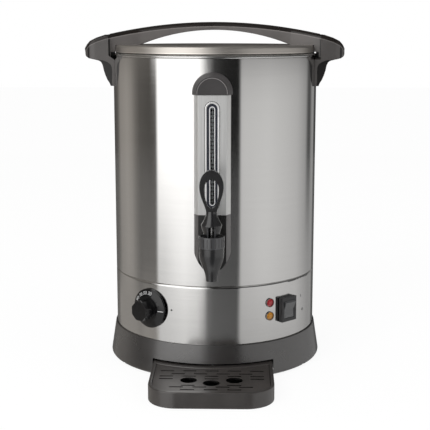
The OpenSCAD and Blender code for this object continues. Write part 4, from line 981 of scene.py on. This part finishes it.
class URN_OT_gauge(bpy.types.Operator):
    """Gauge cover with its pressed rim, cap, scale, tube and ladder"""

    bl_idname = "urn.gauge"
    bl_label = "Gauge"

    STEPS_ROUND = 12

    def stadium(self, half, low, high):
        """Outline of a slot with round ends."""
        points = []
        for centre, start in ((high - half, 0), (low + half, math.pi)):
            for step in range(self.STEPS_ROUND + 1):
                turn = start + math.pi * step / self.STEPS_ROUND
                points.append((half * math.cos(turn), centre + half * math.sin(turn)))
        return points

    def cover(self):
        """The faceted cover, with a pressed rim painted light as a highlight, and a dark line round
        the rim painted as shadow.
        """
        low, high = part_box("gauge_cover")
        steel = colours().gauge_steel
        recut("gauge_cover", "gauge_front", "urn", "gauge_steel",
              sheet_steel("gauge_steel", steel, 0.36, metal=0.72), sizes().fine_edge)
        line = self.stadium(8.3 * MM, low.z + 7.5 * MM, high.z - 9.5 * MM)
        rim = wall("gauge_rim", line, 1.4 * MM, 1.9 * MM, closed=True)
        place(rim, (0, low.y - 0.9 * MM, 0))
        ease(rim, 0.7 * MM, 3)
        # painted highlight: the rim is a lighter, less metallic copy of the cover steel
        dress(rim, "urn", "gauge_steel",
              sheet_steel("rim_highlight_steel", shade(steel, 1.1), 0.3, metal=0.4))
        line = self.stadium(9.9 * MM, low.z + 5.9 * MM, high.z - 7.9 * MM)
        rim_shadow = wall("gauge_rim_shadow", line, 0.3 * MM, 0.7 * MM, closed=True)
        place(rim_shadow, (0, low.y - 0.12 * MM, 0))
        smooth(rim_shadow)
        # painted shadow: a thin dark strip round the rim, 0.3 times the cover steel
        dress(rim_shadow, "urn", "gauge_steel", sheet_steel("rim_shadow_steel", shade(steel, 0.3), 0.4))

    def plate(self):
        """The scale plate with its white outline, the tube and the ladder behind it."""
        low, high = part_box("gauge_scale")
        paint(printed_scale("scale_plastic", colours().scale), "gauge_scale")
        line = self.stadium(3.3 * MM, low.z + 7.9 * MM, high.z - 8.6 * MM)
        edge = wall("gauge_outline", line, 0.5 * MM, 1.3 * MM, closed=True)
        place(edge, (0, low.y - 0.45 * MM, 0))
        ease(edge, 0.15 * MM, 1)
        dress(edge, "urn", "scale_plastic",
              moulded("outline_white", colours().mark, 0.45, bump=0.02))
        paint(clear_tube("tube_glass"), "gauge_tube")
        line = self.stadium(4.6 * MM, low.z + 6 * MM, high.z - 6 * MM)
        back = slab("level_channel", line, 0.6 * MM)
        place(back, (0, AXIS_Y - BODY_R - 1.2 * MM, 0))
        ease(back, 0.15 * MM, 1)
        dress(back, "urn", "scale_plastic", ladder("level_channel", sizes().tick_pitch))

    def cap(self):
        """The cap, its bevel painted lighter than its face, with a raised line round its face
        painted pale as a highlight.
        """
        low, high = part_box("gauge_cap")
        # painted light and shade: bevel and sides 2.5 times the cap colour, front face 1.7 times
        plastic = two_tone("gauge_plastic", shade(colours().cap, 2.5), shade(colours().cap, 1.7),
                           0.36, 0.06, "Y", -0.9, -0.97)
        recut("gauge_cap", "gauge_dome", "urn", "gauge_plastic", plastic, 0.8 * MM)
        centre = high.z - (high.x - low.x) / 2
        radius = high.z - centre - 6.9 * MM
        arc = []
        for step in range(25):
            turn = math.radians(-4 + 188 * step / 24)
            arc.append((radius * math.cos(turn), centre + radius * math.sin(turn)))
        line = wall("cap_line", arc, 0.5 * MM, 0.5 * MM)
        place(line, (0, low.y - 0.35 * MM, 0))
        ease(line, 0.15 * MM, 1)
        # painted highlight: the raised line 14 times the cap colour
        dress(line, "urn", "gauge_plastic",
              moulded("cap_line", shade(colours().cap, 14.0), 0.3, bump=0.02))

    def execute(self, context):
        self.cover()
        self.plate()
        self.cap()
        return {"FINISHED"}


class URN_OT_tap(bpy.types.Operator):
    """Tap holder, body, bonnet, valve and lever"""

    bl_idname = "urn.tap"
    bl_label = "Tap"

    def execute(self, context):
        # painted light and shade: side facets 3.2 times the cap colour, front faces 0.3 times
        saddle = two_tone("holder_plastic", shade(colours().cap, 3.2), shade(colours().cap, 0.3),
                          0.3, 0.05, "Y", -0.9, -0.97, gloss=0.8, coat=0.5)
        recut("tap_holder", "tap_saddle", "urn", "gauge_plastic", saddle, 0.7 * MM)
        plastic = moulded("tap_plastic", colours().tap, 0.18, 1200.0, 0.03, coat=0.2, gloss=0.8)
        recut("tap_body", "tap_barrel", "urn", "tap_plastic", plastic, 0.5 * MM, 2, 40)
        self.bonnet(plastic)
        self.lever(plastic)
        wire = sheet_steel("spring_steel", (0.66, 0.66, 0.66), 0.25, (300, 300, 300))
        paint(wire, "tap_stem", "tap_spring", "lever_pin")
        paint(sheet_steel("shank_steel", (0.75, 0.75, 0.74), 0.3, (60, 60, 60)), "shank_nut")
        return {"FINISHED"}

    def bonnet(self, plastic):
        """The bonnet with its ring of ribs."""
        low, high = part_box("tap_bonnet")
        centre_y = (low.y + high.y) / 2
        radius = (high.x - low.x) / 2
        # painted light: the bonnet is a copy of the tap plastic, 3.4 times lighter
        collar = moulded("collar_plastic", shade(colours().tap, 3.4), 0.2, 1200.0, 0.03,
                         coat=0.2, gloss=0.8)
        recut("tap_bonnet", "tap_collar", "urn", "tap_plastic", collar, 0.9 * MM, 3)
        rib = bar("collar_ribs", 1.0 * MM, low.z + 2 * MM, high.z - 2 * MM, 0.8 * MM)
        place(rib, (0, -radius - 0.3 * MM, 0))
        ease(rib, 0.2 * MM, 1)
        ring_of(rib, 20)
        place(rib, (0, centre_y, 0))
        smooth(rib)
        dress(rib, "urn", "tap_plastic", plastic)

    def lever(self, plastic):
        """The lever with the four ribs of its foot."""
        low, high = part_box("tap_lever")
        centre_y = (low.y + high.y) / 2
        recut("tap_lever", "lever_body", "lever", "tap_plastic", plastic, 2.4 * MM, 4)
        parts = []
        for side in (-1, 1):
            for face in (-1, 1):
                rib = bar("rib", 1.6 * MM, 0, 13.5 * MM, 2.2 * MM)
                place(rib, (side * 4.6 * MM, -1.1 * MM, 0))
                place(rib, (0, face * 9.4 * MM, low.z + 1.2 * MM),
                      (-face * math.radians(15), 0, 0))
                parts.append(place(rib, (0, centre_y, 0)))
        ribs = joined("lever_ribs", parts)
        ease(ribs, 0.3 * MM, 2)
        # painted light: the ribs are a copy of the tap plastic, 4 times lighter
        dress(ribs, "lever", "tap_plastic", moulded("rib_plastic", shade(colours().tap, 4.0), 0.3))


class URN_OT_dial(bpy.types.Operator):
    """Thermostat dial with its numbers, and the dot beside it"""

    bl_idname = "urn.dial"
    bl_label = "Dial"

    # the sloping skirt: its outer radius, the height of its edge, its width and its rise
    SKIRT_R, SKIRT_EDGE, SKIRT_RUN, SKIRT_RISE = 27.5 * MM, 2.6 * MM, 10.5 * MM, 4.4 * MM
    # the numbers with their clockwise angles from the top, and where they and the tick lie
    NUMBERS = ((30, 8), (50, -14), (70, -36), (90, -58))
    NUMBER_R, TICK_R = 21.9 * MM, 22.2 * MM
    POINTER_AZ, POINTER_Z = math.radians(-22.9), 95 * MM

    def execute(self, context):
        gloss = moulded("dial_plastic", shade(colours().black, 0.6), 0.12, 900.0, 0.01)
        recut("dial_knob", "dial", "dial", "dial_plastic", gloss, 0.5 * MM, 2, 30)
        low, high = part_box("dial_knob")
        height = (low.z + high.z) / 2
        parts = []
        for number, degrees in self.NUMBERS:
            parts.append(self.mark(lettering("number", str(number), sizes().number_height),
                                   self.NUMBER_R, degrees))
        tick = bar("tick", 1.0 * MM, -4 * MM, 4 * MM, 0.24 * MM)
        place(tick, (0, 0, 0.12 * MM), (-math.pi / 2, 0, 0))
        parts.append(self.mark(tick, self.TICK_R, 92))
        marks = joined("dial_marks", parts)
        on_body(marks, DIAL_AZ, height, 0.6 * MM)
        dress(marks, "dial", "dial_plastic", moulded("mark_white", colours().mark, 0.5, bump=0.02))
        dot = turned("dial_pointer", [(0, 0.5 * MM), (0.9 * MM, 0.42 * MM), (1.3 * MM, 0.1 * MM),
                                      (1.3 * MM, -0.2 * MM), (0, -0.2 * MM)], 24)
        smooth(dot)
        on_body(dot, self.POINTER_AZ, self.POINTER_Z)
        dress(dot, "urn", "dial_plastic", gloss)
        return {"FINISHED"}

    def mark(self, piece, radius, degrees):
        """Lays a mark on the dial's sloping skirt at a clockwise angle from the top."""
        slope = math.atan2(self.SKIRT_RISE, self.SKIRT_RUN)
        rise = self.SKIRT_EDGE + self.SKIRT_RISE * (self.SKIRT_R - radius) / self.SKIRT_RUN
        place(piece, (0, radius, rise + 0.05 * MM), (-slope, 0, 0))
        return place(piece, (0, 0, 0), (0, 0, -math.radians(degrees)))


class URN_OT_lamps(bpy.types.Operator):
    """The two indicator lamps"""

    bl_idname = "urn.lamps"
    bl_label = "Lamps"

    def execute(self, context):
        paint(sheet_steel("lamp_ring", (0.30, 0.27, 0.25), 0.3, (80, 80, 80)), "lamp_bodies")
        paint(lens("red_lens", colours().red), "heating_lamp_lens")
        paint(lens("amber_lens", colours().amber), "warm_lamp_lens")
        return {"FINISHED"}


class URN_OT_switch(bpy.types.Operator):
    """Rocker switch with its bezel and marks"""

    bl_idname = "urn.switch"
    bl_label = "Switch"

    # each mark with its angle from the front and its height
    MARKS = (("I", 58, 101.7 * MM), ("O", 60, 81 * MM))

    def execute(self, context):
        black = moulded("switch_black", shade(colours().black, 1.6), 0.3, 1100.0, 0.05, coat=0.3)
        recut("switch_housing", "switch_bezel", "urn", "switch_black", black, 1.1 * MM)
        grey = moulded("rocker_grey", (0.085, 0.087, 0.090), 0.2, 700.0, 0.1, coat=1.0, gloss=0.8)
        recut("switch_rocker", "rocker_cap", "rocker", "rocker_grey", grey, 0.6 * MM)
        marks = []
        for letter, degrees, height in self.MARKS:
            mark = lettering("switch_mark", letter, 6.0 * MM)
            marks.append(on_body(mark, math.radians(degrees), height, 0.1 * MM))
        marks = joined("switch_marks", marks)
        dress(marks, "urn", "switch_black",
              moulded("mark_grey", (0.12, 0.12, 0.13), 0.5, bump=0.02))
        return {"FINISHED"}


class URN_OT_tray(bpy.types.Operator):
    """Drip tray and its grate"""

    bl_idname = "urn.tray"
    bl_label = "Drip tray"

    def execute(self, context):
        recut("drip_tray", "drip_pan", "tray", "tray_plastic",
              basin("tray_plastic", colours().tray, 8 * MM), sizes().tray_edge, 3)
        # painted shade: the grate's upright faces, its slot walls, near black; its top faces 1.25
        # times the tray colour
        plastic = two_tone("grate_plastic", shade(colours().tray, 0.06),
                           shade(colours().tray, 1.25), 0.36, 0.1, "Z", 0.5, 0.9, gloss=0.8)
        recut("drip_grate", "drip_lattice", "grate", "grate_plastic", plastic, 0.25 * MM)
        return {"FINISHED"}


STEPS = (
    URN_OT_stage, URN_OT_body, URN_OT_base, URN_OT_inside, URN_OT_lid, URN_OT_handles,
    URN_OT_gauge, URN_OT_tap, URN_OT_dial, URN_OT_lamps, URN_OT_switch, URN_OT_tray,
)


class URN_PT_panel(bpy.types.Panel):
    """Lists the steps and the sizes and colours that they use"""

    bl_idname = "URN_PT_panel"
    bl_label = "Hot water urn"
    bl_space_type = "VIEW_3D"
    bl_region_type = "UI"
    bl_category = "Urn"

    def draw(self, context):
        for step in STEPS:
            self.layout.operator(step.bl_idname)
        for group in (context.scene.urn_sizes, context.scene.urn_colours,
                      context.scene.urn_stage):
            box = self.layout.box()
            for name in group.bl_rna.properties.keys():
                if name not in ("rna_type", "name"):
                    box.prop(group, name)


CLASSES = (UrnSizes, UrnColours, UrnStage, *STEPS, URN_PT_panel)


def register():
    for kind in CLASSES:
        bpy.utils.register_class(kind)
    bpy.types.Scene.urn_sizes = bpy.props.PointerProperty(type=UrnSizes)
    bpy.types.Scene.urn_colours = bpy.props.PointerProperty(type=UrnColours)
    bpy.types.Scene.urn_stage = bpy.props.PointerProperty(type=UrnStage)


def unregister():
    del bpy.types.Scene.urn_stage
    del bpy.types.Scene.urn_colours
    del bpy.types.Scene.urn_sizes
    for kind in reversed(CLASSES):
        bpy.utils.unregister_class(kind)


def main():
    """Builds the scene, step by step."""
    register()
    for step in STEPS:
        group, action = step.bl_idname.split(".")
        getattr(getattr(bpy.ops, group), action)()
    clear_selection()


if __name__ == "__main__":
    main()
